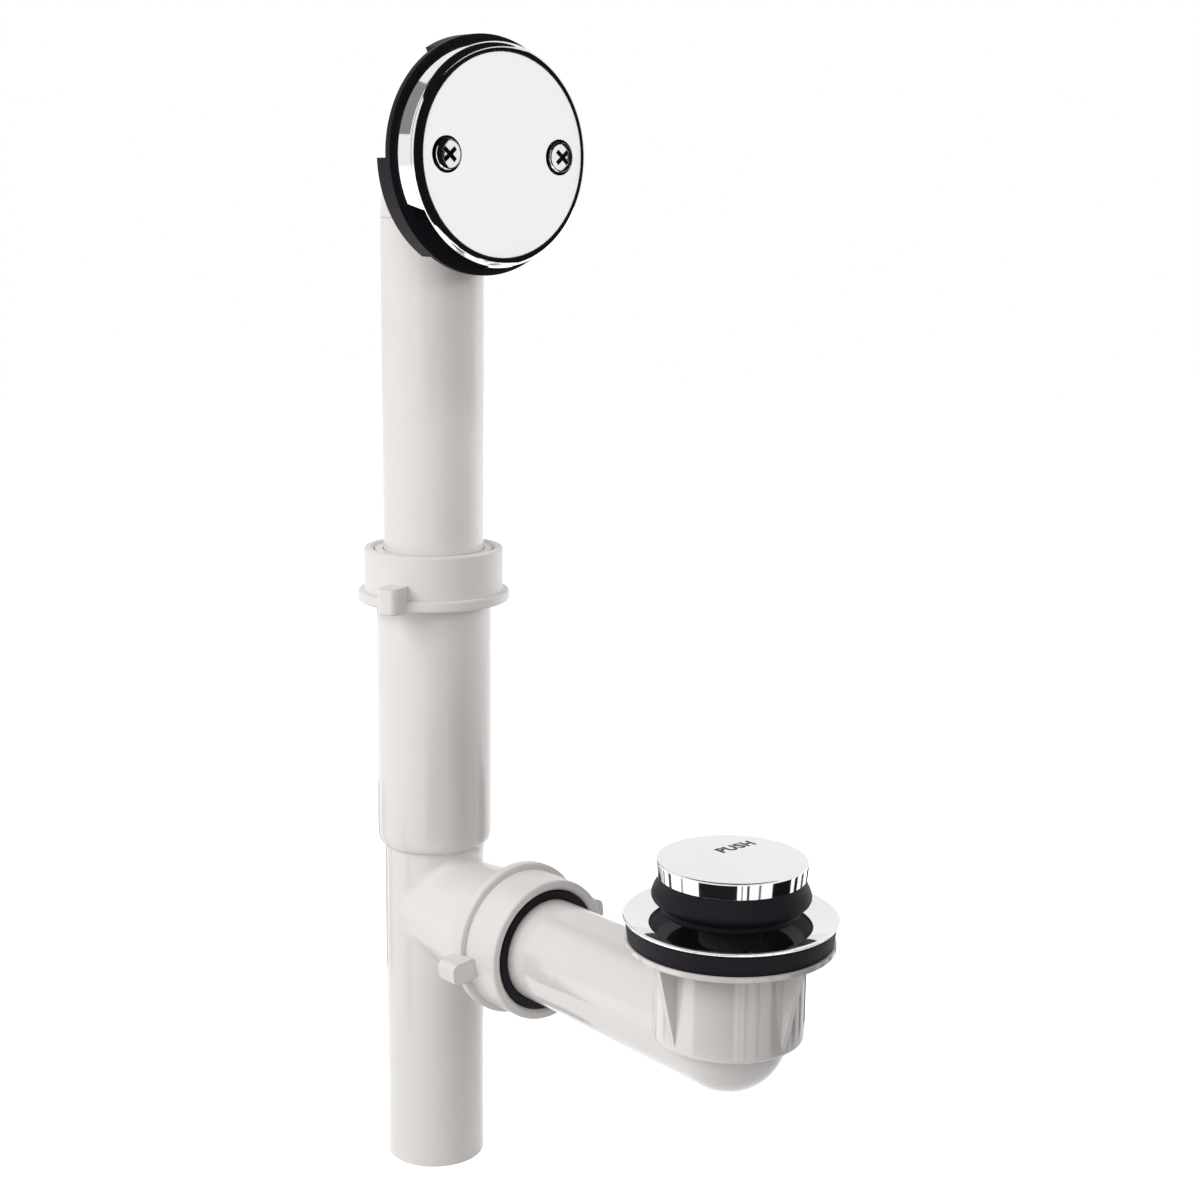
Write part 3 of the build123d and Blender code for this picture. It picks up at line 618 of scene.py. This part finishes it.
@dataclass
class Assembly:
    """What both sub-assemblies have: the finishes' materials, and bodies that their pieces go to."""

    palette: Palette

    def wear(self, piece: Piece, finish: Finish) -> None:
        """Give a piece the material of a finish."""
        piece.data.materials.append(self.palette[finish])

    @staticmethod
    def hand_over(piece: Piece, body: Body, node: str, slot: Slot) -> None:
        """Let a piece ride on a body in a node's stead."""
        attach(piece, body.value)
        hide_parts(node)
        LOG.info("%s stands for %s", piece.name, node)


# Radii and heights in millimetres: the head's above its seat, the seal's above the tail's end
SCREW_HEAD = (
    (0.0, 2.6), (1.7, 2.57), (3.4, 2.48), (4.6, 2.36), (5.0, 2.24),
    (5.25, 2.0), (5.4, 1.6), (5.4, 0.15), (5.25, 0.0),
)
SEAL_OUTLINE = (
    (24.36, 159.0), (24.5, 158.92), (24.56, 158.4), (24.66, 157.8), (24.95, 156.8),
    (25.4, 155.8), (25.92, 154.8), (26.34, 153.8), (26.55, 152.9), (26.5, 152.1),
    (26.15, 151.3), (25.45, 150.6), (24.6, 150.1), (23.75, 149.72), (23.25, 149.35),
    (23.05, 148.85), (23.08, 148.3), (23.2, 147.7), (23.1, 147.2), (22.8, 146.85),
    (22.4, 146.68), (22.26, 146.75), (22.26, 149.2), (18.15, 149.25), (18.15, 158.25),
    (24.36, 158.25), (24.36, 159.0),
)


@dataclass
class OverflowPlate(Assembly):
    """Pressed chrome plate with a drafted skirt, two screw dimples and two water notches, and its screws."""

    rim_x: float = 32.3 * MM
    face_x: float = 42.6 * MM
    rim_radius: float = 39.9 * MM
    draft: float = 0.9 * MM
    edge_radius: float = 3.4 * MM
    sheet: float = 1.0 * MM
    rim_round: float = 0.2 * MM
    screw_reach: float = 25.2 * MM
    dimple_radius: float = 6.3 * MM
    dimple_floor_radius: float = 5.6 * MM
    dimple_depth: float = 0.8 * MM
    dimple_back_radius: float = 6.1 * MM
    cutter_excess: float = 0.5 * MM
    hole_radius: float = 2.7 * MM
    notch_start: float = 24.0
    notch_sweep: float = 63.0
    notch_slant: float = 5.2
    notch_depth: float = 8.6 * MM
    notch_reach: float = 12.0 * MM
    notch_excess: float = 3.0 * MM
    screw_radius: float = 2.4 * MM
    screw_length: float = 18.7 * MM
    thread_pitch: float = 0.8 * MM
    thread_depth: float = 0.35 * MM
    thread_start: float = 3.0 * MM
    thread_run_out: float = 1.0 * MM
    neck_end: float = 2.6 * MM
    recess_top: float = 2.8 * MM
    recess_span: float = 7.2 * MM
    recess_width: float = 1.7 * MM
    recess_depth: float = 1.9 * MM
    recess_taper: tuple[float, float] = (0.45, 0.62)
    recess_turn: float = 41.0

    def build(self) -> None:
        """Model plate and screws and hide the plain ones."""
        self.hand_over(self.press_plate(), Body.OVERFLOW, "overflow_plate", Slot.CHROME)
        left = self.make_screw()
        activate(left)
        bpy.ops.object.duplicate(linked=False)
        right = bpy.context.object
        right.name = "cross_screw_right"
        bpy.ops.transform.translate(value=(0, 2 * self.screw_reach, 0))
        self.hand_over(settle(left, 30.0), Body.OVERFLOW, "plate_screw_left", Slot.CHROME)
        self.hand_over(settle(right, 30.0), Body.OVERFLOW, "plate_screw_right", Slot.CHROME)

    def press_plate(self) -> Piece:
        """Turn the sheet and cut its dimples, holes and notches.

        Returns:
            The finished plate.
        """
        lathe = Lathe((0, 0, OVERFLOW_Z), (1, 0, 0), (0, 0, 1))
        skirt_radius = self.rim_radius - self.draft
        bend = (skirt_radius - self.edge_radius, self.face_x - self.edge_radius)
        outside = arc(bend, self.edge_radius, 90, 0, 18)
        inside = arc(bend, self.edge_radius - self.sheet, 0, 90, 10)
        rim = [
            (self.rim_radius, self.rim_x + self.rim_round),
            (self.rim_radius - self.rim_round, self.rim_x),
            (self.rim_radius - self.sheet + self.rim_round, self.rim_x),
            (self.rim_radius - self.sheet, self.rim_x + self.rim_round),
        ]
        support = (bend[0] - 0.5 * MM, self.face_x)
        back = self.face_x - self.sheet
        section = [(0, self.face_x), support, *outside, *rim, *inside, (0, back)]
        plate = lathe.turn("pressed_plate", section, 180)
        self.wear(plate, CHROME)
        for side in (-1, 1):
            self.dimple(plate, side)
            self.notch(plate, side)
        return settle(plate, 30.0)

    def dimple(self, plate: Piece, side: int) -> None:
        """Sink the seat of one screw, with dark plating in it that is painted shade and reflection.

        Args:
            plate: The plate.
            side: Minus one for the left screw, one for the right.
        """
        lathe = Lathe((self.face_x, side * self.screw_reach, OVERFLOW_Z), (1, 0, 0), (0, 0, 1))
        middle = -0.5 * self.sheet
        back = -self.sheet - self.dimple_depth
        rear = self.dimple_back_radius
        boss = [(0, middle), (rear, middle), (rear, back), (0, back)]
        pad = lathe.turn("dimple_back", boss, 48)
        self.wear(pad, CHROME)
        combine(plate, pad, "UNION")
        slope = (self.dimple_radius - self.dimple_floor_radius) / self.dimple_depth
        over = self.cutter_excess
        hollow = [
            (0, over),
            (self.dimple_radius + slope * over, over),
            (self.dimple_floor_radius, -self.dimple_depth),
            (self.hole_radius, -self.dimple_depth),
            (self.hole_radius, back - over),
            (0, back - over),
        ]
        cutter = lathe.turn("dimple_cutter", hollow, 64)
        # The cut faces take the dark plating: painted shade and reflection in the dimple.
        self.wear(cutter, DIMPLE_SHADE_CHROME)
        combine(plate, cutter)

    def notch(self, plate: Piece, side: int) -> None:
        """Cut one water notch, narrower at its end than at the rim.

        Args:
            plate: The plate.
            side: Minus one for the left notch, one for the right.
        """
        start = radians(180 + self.notch_start) if side < 0 else radians(-self.notch_start - self.notch_sweep)
        centre = (0, 0, OVERFLOW_Z)
        lathe = Lathe(centre, (1, 0, 0), (0, cos(start), sin(start)))
        inner, outer = self.rim_radius - self.notch_reach, self.rim_radius + self.notch_excess
        foot, top = self.rim_x - 1 * MM, self.rim_x + self.notch_depth
        box = [(inner, foot), (outer, foot), (outer, top), (inner, top), (inner, foot)]
        cutter = lathe.turn("notch_cutter", box, 6, radians(self.notch_sweep))
        self.wear(cutter, CHROME)
        activate(cutter)
        bpy.ops.object.mode_set(mode="EDIT")
        for end, inwards in ((0.0, 1), (self.notch_sweep, -1)):
            angle = start + radians(end)

            def at_end(place: Vector, angle: float = angle) -> bool:
                """Whether a place is on this end's edge deep in the skirt."""
                turned = atan2(place.z - OVERFLOW_Z, place.y) - angle
                return place.x > top - 0.1 * MM and abs(sin(turned)) < 0.01 and cos(turned) > 0

            select_points(cutter, at_end)
            slant = -inwards * radians(self.notch_slant)
            bpy.ops.transform.rotate(
                value=slant, orient_axis="X", orient_type="GLOBAL", center_override=centre
            )
        combine(plate, cutter)

    def make_screw(self) -> Piece:
        """Turn the left screw with its thread and cut the cross recess in its oval head.

        Returns:
            The screw, not yet settled.
        """
        seat = self.face_x - self.dimple_depth
        lathe = Lathe((seat, -self.screw_reach, OVERFLOW_Z), (1, 0, 0), (0, 0, 1))
        crest = self.screw_radius
        root = crest - self.thread_depth
        profile = [(radius * MM, height * MM) for radius, height in SCREW_HEAD]
        profile += [(crest, 0.0), (crest, -self.neck_end)]
        turns = int((self.screw_length - self.thread_start - self.thread_run_out) / self.thread_pitch)
        for ridge in range(turns):
            depth = -self.thread_start - ridge * self.thread_pitch
            profile += [(root, depth), (crest, depth - self.thread_pitch / 2)]
        profile += [(root - self.thread_depth, -self.screw_length), (0.0, -self.screw_length)]
        screw = lathe.turn("cross_screw_left", profile, 48)
        self.wear(screw, SCREW_CHROME)
        for turn in (self.recess_turn, -self.recess_turn):
            deselect()
            top, pivot = lathe.point(0, self.recess_top), lathe.point(0, 0)
            bpy.ops.mesh.primitive_plane_add(size=1, location=top, rotation=(0, pi / 2, 0))
            arm = bpy.context.object
            arm.dimensions = (self.recess_width, self.recess_span, 0)
            bpy.ops.object.transform_apply(location=False, rotation=True, scale=True)
            open_mesh()
            deep = {"value": (-self.recess_depth, 0, 0)}
            bpy.ops.mesh.extrude_region_move(TRANSFORM_OT_translate=deep)
            bpy.ops.transform.resize(value=(1, *self.recess_taper), center_override=pivot)
            bpy.ops.mesh.select_all(action="SELECT")
            bpy.ops.mesh.normals_make_consistent(inside=False)
            bpy.ops.transform.rotate(
                value=radians(turn), orient_axis="X", orient_type="GLOBAL", center_override=pivot
            )
            bpy.ops.object.mode_set(mode="OBJECT")
            # The recess's cut faces take the dark tone: painted shade in the cross recess.
            self.wear(arm, LETTERS_AND_RECESS_SHADE)
            combine(screw, arm)
        return screw


@dataclass
class PushStopper(Assembly):
    """The stopper's chrome cap with its word, the bulging seal below it and the spring round its post."""

    cap_radius: float = 25.2 * MM
    cap_foot_radius: float = 24.75 * MM
    cap_top: float = 165.2 * MM
    cap_foot: float = 159.05 * MM
    cap_edge: float = 0.7 * MM
    cap_bore: float = 24.32 * MM
    cap_crown: float = 1.1 * MM
    dome: float = 0.45 * MM
    lip: float = 0.1 * MM
    lip_draw: float = 0.12 * MM
    holding_ring: float = 0.1 * MM
    holding_step: float = 0.01 * MM
    spring_radius: float = 6.3 * MM
    wire_radius: float = 0.6 * MM
    spring_foot: float = 126.15 * MM
    spring_top: float = 144.8 * MM
    free_turns: int = 4
    closed_climb: float = 2.05
    steps_per_turn: int = 36
    pressed_share: float = 0.519
    word: str = "PUSH"
    word_length: float = 15.8 * MM
    word_centre: tuple[float, float] = (156.5 * MM, 8.5 * MM)
    word_thickness: float = 0.08 * MM
    word_rise: float = 0.02 * MM

    def build(self) -> None:
        """Model cap, seal, word and spring and hide the plain ones."""
        cap = self.make_cap()
        self.hand_over(cap, Body.STOPPER, "stopper_cap", Slot.CHROME)
        self.hand_over(self.make_seal(), Body.STOPPER, "stopper_seal", Slot.RUBBER)
        word = self.make_word(cap)
        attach(word, Body.STOPPER.value)
        spring = self.make_spring()
        self.hand_over(spring, Body.DRAIN, "stopper_spring", Slot.STEEL)
        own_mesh(spring)

    def make_cap(self) -> Piece:
        """Turn the cap: a shallow dome, a rounded edge and a skirt that draws in a little.

        Returns:
            The finished cap.
        """
        flat = self.cap_radius - self.cap_edge
        rings = 10
        top = [(flat * ring / rings, self.cap_top - self.dome * (ring / rings) ** 2) for ring in range(rings)]
        edge_foot = self.cap_top - self.dome - self.cap_edge
        edge = arc((flat, edge_foot), self.cap_edge, 88, 0, 12)
        ceiling = self.cap_top - self.cap_crown
        skirt = [
            (self.cap_radius - self.holding_step, edge_foot - self.holding_ring),
            (self.cap_foot_radius + self.holding_step, self.cap_foot + self.lip + self.holding_ring),
            (self.cap_foot_radius, self.cap_foot + self.lip),
            (self.cap_foot_radius - self.lip_draw, self.cap_foot),
            (self.cap_bore, self.cap_foot),
            (self.cap_bore, ceiling - self.cap_crown),
            (self.cap_bore - 1 * MM, ceiling - 0.5 * MM),
            (0, ceiling),
        ]
        cap = DRAIN_LATHE.turn("stopper_cap_shell", [*top, *edge, *skirt], 160)
        self.wear(cap, CHROME)
        return settle(cap, 40.0)

    def make_seal(self) -> Piece:
        """Turn the seal: a lip under the cap, a bulge below it and a narrower fold at its foot.

        Returns:
            The finished seal.
        """
        outline = [(radius * MM, height * MM) for radius, height in SEAL_OUTLINE]
        seal = DRAIN_LATHE.turn("bulging_seal", outline, 144)
        self.wear(seal, RUBBER)
        return settle(seal, 50.0)

    def make_word(self, cap: Piece) -> Piece:
        """Lay the word on the cap as dark letters let into its top.

        Args:
            cap: The piece that the word lies on.

        Returns:
            The finished word.
        """
        deselect()
        bpy.ops.object.text_add(location=(0, 0, 0))
        word = bpy.context.object
        word.data.body = self.word
        word.data.align_x = "CENTER"
        word.data.align_y = "CENTER"
        word.data.space_character = 1.1
        word.data.offset = 0.045
        word.data.resolution_u = 6
        word.name = "stopper_word"
        bpy.ops.object.convert(target="MESH")
        size = self.word_length / word.dimensions.x
        word.scale = (size, size, size)
        word.rotation_euler = (0, 0, pi / 2)
        word.location = (*self.word_centre, self.cap_top)
        bpy.ops.object.transform_apply(location=True, rotation=True, scale=True)
        open_mesh()
        bpy.ops.mesh.remove_doubles(threshold=0.01 * MM)
        bpy.ops.mesh.subdivide(number_cuts=3)
        bpy.ops.object.mode_set(mode="OBJECT")
        apply_change(
            word,
            "SHRINKWRAP",
            target=cap,
            wrap_method="PROJECT",
            use_project_z=True,
            use_positive_direction=True,
            use_negative_direction=True,
            offset=self.word_rise,
        )
        apply_change(word, "SOLIDIFY", thickness=self.word_thickness, offset=-1.0)
        self.wear(word, LETTERS_AND_RECESS_SHADE)
        return settle(word, 30.0)

    def make_spring(self) -> Piece:
        """Wind the spring: a closed turn at each end and open turns between them.

        Returns:
            The finished spring.
        """
        low = self.spring_foot + self.wire_radius
        closed = self.closed_climb * self.wire_radius
        rise = self.spring_top - self.wire_radius - low - 2 * closed
        stretches = []
        for foot, turns, climb in (
            (low, 1, closed),
            (low + closed, self.free_turns, rise),
            (low + closed + rise, 1, closed),
        ):
            deselect()
            bpy.ops.mesh.primitive_circle_add(
                vertices=10, radius=self.wire_radius, location=(DRAIN_X, 0, foot), rotation=(pi / 2, 0, 0)
            )
            stretch = bpy.context.object
            bpy.ops.object.transform_apply(location=False, rotation=True, scale=False)
            open_mesh()
            bpy.ops.transform.translate(value=(self.spring_radius, 0, 0))
            bpy.ops.object.mode_set(mode="OBJECT")
            steps = self.steps_per_turn * turns
            angle = 2 * pi * turns
            apply_change(
                stretch, "SCREW", axis="Z", angle=angle, screw_offset=climb, steps=steps, render_steps=steps
            )
            stretches.append(stretch)
        activate(stretches[0])
        for stretch in stretches:
            stretch.select_set(True)
        bpy.ops.object.join()
        spring = bpy.context.object
        spring.name = "wound_spring"
        spring.data.name = "wound_spring"
        open_mesh()
        bpy.ops.mesh.remove_doubles(threshold=0.01 * MM)
        bpy.ops.mesh.fill_holes(sides=12)
        close_mesh()
        self.wear(spring, STEEL)
        return settle(spring, 60.0)


@dataclass(frozen=True)
class Stripe:
    """An upright stripe of a given brightness round the drain, between two angles in degrees from +X."""

    start: float
    end: float
    tone: float
    radius: float = 0.2


@dataclass
class Studio:
    """Camera, floor, lamps and the dark cards that the chrome reflects."""

    camera_place: Point = (598.25 * MM, -444.14 * MM, 376.01 * MM)
    camera_turn: float = -4.90
    camera_pitch: float = 11.42
    camera_roll: float = 0.71
    focal_pixels: float = 1977.18
    floor_radius: float = 3.2
    floor_drop: float = 0.2 * MM
    floor_glow: float = 0.9
    floor_tone: float = 0.76
    ambient: float = 0.34
    key_power: float = 25.0
    rim_power: float = 26.0
    front_power: float = 0.8
    low_aim: Point = (60.0 * MM, 0.0, 200.0 * MM)
    high_aim: Point = (0.0, 0.0, 330.0 * MM)
    near_share: float = 0.35
    spot_power: float = 2.6
    spot_opening: float = 27.0
    spot_aim: Point = (0.0, 0.0, 325.0 * MM)
    spot_direction: Point = (0.88, 0.4, 0.26)
    spot_blend: float = 0.9
    spot_softness: float = 0.08
    lamp_distance: float = 2.0
    lamp_size: float = 1.2
    stripe_foot: float = 25.0 * MM
    stripe_top: float = 115.0 * MM
    band_x: float = 42.0 * MM
    band_radius: float = 130.0 * MM
    line_axis: float = 9.7
    line_opening: float = 107.2
    line_width: float = 4.0
    line_start: float = 20.0
    line_sweep: float = 110.0
    line_tone: float = 0.03
    face_card_place: Point = (102.6 * MM, 48.0 * MM, 392.6 * MM)
    face_card_radius: float = 40.1 * MM
    face_card_tone: float = 1.06
    flag_centre: Point = (60.0 * MM, 0.0, 0.0)
    flag_start: float = -20.0
    flag_sweep: float = 100.0
    flag_radius: float = 0.42
    flag_foot: float = 1.0 * MM
    flag_height: float = 0.28
    flag_tone: float = 0.01
    ceiling_height: float = 1.0
    ceiling_radius: float = 0.6
    ceiling_tone: float = 0.01

    def build(self) -> None:
        """Make all that stands round the object."""
        self.add_camera()
        self.add_floor()
        self.add_world()
        self.add_lamps()
        self.add_spot()
        self.add_stripes()
        self.add_plate_cards()
        self.add_flag()
        self.add_ceiling()

    def add_camera(self) -> None:
        """Stand the camera where the photograph was taken from."""
        data = bpy.data.cameras.new("photo_camera")
        data.sensor_width = 36.0
        data.lens = self.focal_pixels / PHOTO_PIXELS * data.sensor_width
        data.clip_end = 50.0
        camera = bpy.data.objects.new("photo_camera", data)
        bpy.context.scene.collection.objects.link(camera)
        place = Vector(self.camera_place)
        across = atan2(-place.y, -place.x) + radians(self.camera_turn)
        down = radians(self.camera_pitch)
        ahead = Vector((cos(across) * cos(down), sin(across) * cos(down), -sin(down)))
        camera.rotation_mode = "QUATERNION"
        roll = Quaternion((0, 0, 1), radians(self.camera_roll))
        camera.rotation_quaternion = ahead.to_track_quat("-Z", "Y") @ roll
        camera.location = place
        bpy.context.scene.camera = camera

    def add_floor(self) -> None:
        """Lay a pale round floor that is white to the camera and keeps a soft shadow."""
        deselect()
        bpy.ops.mesh.primitive_circle_add(
            vertices=96, radius=self.floor_radius, fill_type="NGON", location=(0, 0, -self.floor_drop)
        )
        floor = bpy.context.object
        floor.name = "studio_floor"
        material, wiring = new_material(floor.name)
        matt = wiring.add("BsdfDiffuse", Color=grey(self.floor_tone))
        seen = wiring.add("Emission", Strength=self.floor_glow)
        both = wiring.add("AddShader")
        wiring.join(matt.outputs[0], both.inputs[0])
        wiring.join(seen.outputs[0], both.inputs[1])
        choice = wiring.add("MixShader")
        wiring.join(self.shown_rays(wiring), choice.inputs[0])
        wiring.join(matt.outputs[0], choice.inputs[1])
        wiring.join(both.outputs[0], choice.inputs[2])
        wiring.add("OutputMaterial", Surface=choice.outputs[0])
        floor.data.materials.append(material)

    @staticmethod
    def shown_rays(wiring: Wiring) -> Socket:
        """A share of one for the rays by which the background is seen or mirrored."""
        rays = wiring.add("LightPath")
        seen = wiring.maths("MAXIMUM", rays.outputs["Is Camera Ray"], rays.outputs["Is Glossy Ray"])
        return wiring.maths("MAXIMUM", seen, rays.outputs["Is Transmission Ray"])

    def add_world(self) -> None:
        """Give even light, and a white background to camera and mirrored rays."""
        world = bpy.data.worlds.new("studio_world")
        world.use_nodes = True
        wiring = Wiring(world.node_tree)
        light = wiring.span(self.shown_rays(wiring), self.ambient, 1.0)
        background = wiring.add("Background", Color=grey(1.0), Strength=light)
        wiring.add("OutputWorld", Surface=background.outputs[0])
        bpy.context.scene.world = world

    def add_lamps(self) -> None:
        """Hang a soft key at the camera's left, a rim lamp behind and a near one for the riser."""
        for name, aim, direction, share, power in (
            ("key_lamp", self.low_aim, (-0.163, -0.803, 0.574), 1.0, self.key_power),
            ("rim_lamp", self.low_aim, (0.113, 0.990, 0.087), 1.0, self.rim_power),
            ("front_lamp", self.high_aim, (0.82, -0.45, 0.34), self.near_share, self.front_power),
        ):
            data = bpy.data.lights.new(name, "AREA")
            data.energy = power
            data.size = self.lamp_size * share
            self.hang(data, aim, direction, share)

    def add_spot(self) -> None:
        """Aim a narrow lamp at the riser under the plate."""
        data = bpy.data.lights.new("riser_spot", "SPOT")
        data.energy = self.spot_power
        data.spot_size = radians(self.spot_opening)
        data.spot_blend = self.spot_blend
        data.shadow_soft_size = self.spot_softness
        self.hang(data, self.spot_aim, self.spot_direction, self.near_share)

    def hang(self, data: bpy.types.Light, aim: Point, direction: Point, share: float) -> None:
        """Hang a lamp that no camera or mirrored ray meets.

        Args:
            data: The lamp's data, whose name the lamp takes.
            aim: Where it points.
            direction: The way from there to the lamp.
            share: Its share of the lamps' distance.
        """
        lamp = bpy.data.objects.new(data.name, data)
        bpy.context.scene.collection.objects.link(lamp)
        away = Vector(direction).normalized()
        lamp.location = Vector(aim) + away * self.lamp_distance * share
        lamp.rotation_euler = away.to_track_quat("Z", "Y").to_euler()
        lamp.visible_camera = False
        lamp.visible_glossy = False

    @staticmethod
    def as_card(card: Piece, tone: float) -> None:
        """Paint a card with one plain tone that only mirrored rays meet.

        Args:
            card: The card.
            tone: How bright it looks.
        """
        material, wiring = new_material(card.name)
        glow = wiring.add("Emission", Color=grey(tone))
        wiring.add("OutputMaterial", Surface=glow.outputs[0])
        card.data.materials.append(material)
        for ray in (
            "visible_camera",
            "visible_diffuse",
            "visible_shadow",
            "visible_transmission",
            "visible_volume_scatter",
        ):
            setattr(card, ray, False)

    def add_stripes(self) -> None:
        """Stand stripes round the drain for the cap's skirt to mirror."""
        stripes = (
            Stripe(16.7, 52.3, 0.008),
            Stripe(60.6, 68.6, 0.008),
            Stripe(80.0, 88.0, 0.1),
            Stripe(104.0, 134.0, 0.008),
            Stripe(170.0, 178.7, 0.04, 0.3),
            Stripe(188.0, 193.2, 0.35, 0.3),
            Stripe(206.0, 213.0, 0.08),
            Stripe(234.0, 238.0, 0.4),
            Stripe(265.0, 323.0, 0.014),
            Stripe(328.8, 331.2, 0.2),
            Stripe(336.9, 340.8, 0.05),
            Stripe(354.9, 358.4, 0.14),
        )
        for number, stripe in enumerate(stripes):
            angle = radians(stripe.start)
            lathe = Lathe((DRAIN_X, 0, 0), (0, 0, 1), (cos(angle), sin(angle), 0))
            edge = [(stripe.radius, self.stripe_foot), (stripe.radius, self.stripe_top)]
            card = lathe.turn(f"drain_stripe_{number}", edge, 12, radians(stripe.end - stripe.start))
            self.as_card(card, stripe.tone)

    def add_plate_cards(self) -> None:
        """Curve dark cards before the overflow plate for its edge and screws, and a pale one for its face."""
        centre = (self.band_x, 0, OVERFLOW_Z)
        for name, start, end, low, high, tone in (
            ("plate_edge_card", -77.5, 88.0, -52.0, 47.0, 0.008),
            ("plate_skirt_card", -144.0, -121.0, 13.0, 50.0, 0.28),
        ):
            angle = radians(start)
            lathe = Lathe(centre, (0, 0, 1), (cos(angle), sin(angle), 0))
            profile = arc((0.0, 0.0), self.band_radius, low, high, 16)
            self.as_card(lathe.turn(name, profile, 32, radians(end - start)), tone)
        angle, lift = radians(self.line_axis), radians(self.line_start)
        upwards = (sin(angle) * sin(lift), -cos(angle) * sin(lift), cos(lift))
        lathe = Lathe(centre, (cos(angle), sin(angle), 0), upwards)
        edge = 90 - self.line_opening
        line = arc((0.0, 0.0), self.band_radius, edge, edge - self.line_width, 2)
        self.as_card(lathe.turn("plate_line_card", line, 64, radians(self.line_sweep)), self.line_tone)
        front = Lathe(self.face_card_place, (1, 0, 0), (0, 0, 1))
        face = front.turn("plate_face_card", [(0, 0), (self.face_card_radius, 0)], 64)
        self.as_card(face, self.face_card_tone)

    def add_flag(self) -> None:
        """Stand a black flag low at the right, which keeps light from the lower parts' right sides."""
        angle = radians(self.flag_start)
        lathe = Lathe(self.flag_centre, (0, 0, 1), (cos(angle), sin(angle), 0))
        edge = [(self.flag_radius, self.flag_foot), (self.flag_radius, self.flag_height)]
        flag = lathe.turn("black_flag", edge, 24, radians(self.flag_sweep))
        material, wiring = new_material(flag.name)
        black = wiring.add("BsdfDiffuse", Color=grey(self.flag_tone))
        wiring.add("OutputMaterial", Surface=black.outputs[0])
        flag.data.materials.append(material)
        for ray in ("visible_camera", "visible_glossy", "visible_transmission"):
            setattr(flag, ray, False)

    def add_ceiling(self) -> None:
        """Hang a dark round card overhead, which darkens the edges that look up."""
        lathe = Lathe((DRAIN_X, 0, self.ceiling_height), (0, 0, 1), (1, 0, 0))
        card = lathe.turn("ceiling_card", [(0, 0), (self.ceiling_radius, 0)], 48)
        self.as_card(card, self.ceiling_tone)


def dress_nodes(nodes: dict[str, Piece], groups: EffectGroups) -> Palette:
    """Give every carried node its finish.

    Args:
        nodes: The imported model's objects by name.
        groups: The shared effects.

    Returns:
        The material built for each finish.
    """
    palette: Palette = {finish: finish.build(groups) for finish in (LETTERS_AND_RECESS_SHADE, DIMPLE_SHADE_CHROME)}
    for finish, names in CARRIED_NODES.items():
        palette[finish] = finish.build(groups)
        for name in names:
            for material_slot in nodes[name].material_slots:
                material_slot.material = palette[finish]
            LOG.info("%s wears %s", name, finish.name)
    return palette


def main() -> None:
    """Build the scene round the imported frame."""
    logging.basicConfig(level=logging.INFO, format="%(message)s")
    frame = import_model()
    bpy.context.scene.view_settings.view_transform = "Standard"
    Studio().build()
    palette = dress_nodes(frame["nodes"], EffectGroups())
    OverflowPlate(palette).build()
    PushStopper(palette).build()


if __name__ == "__main__":
    main()
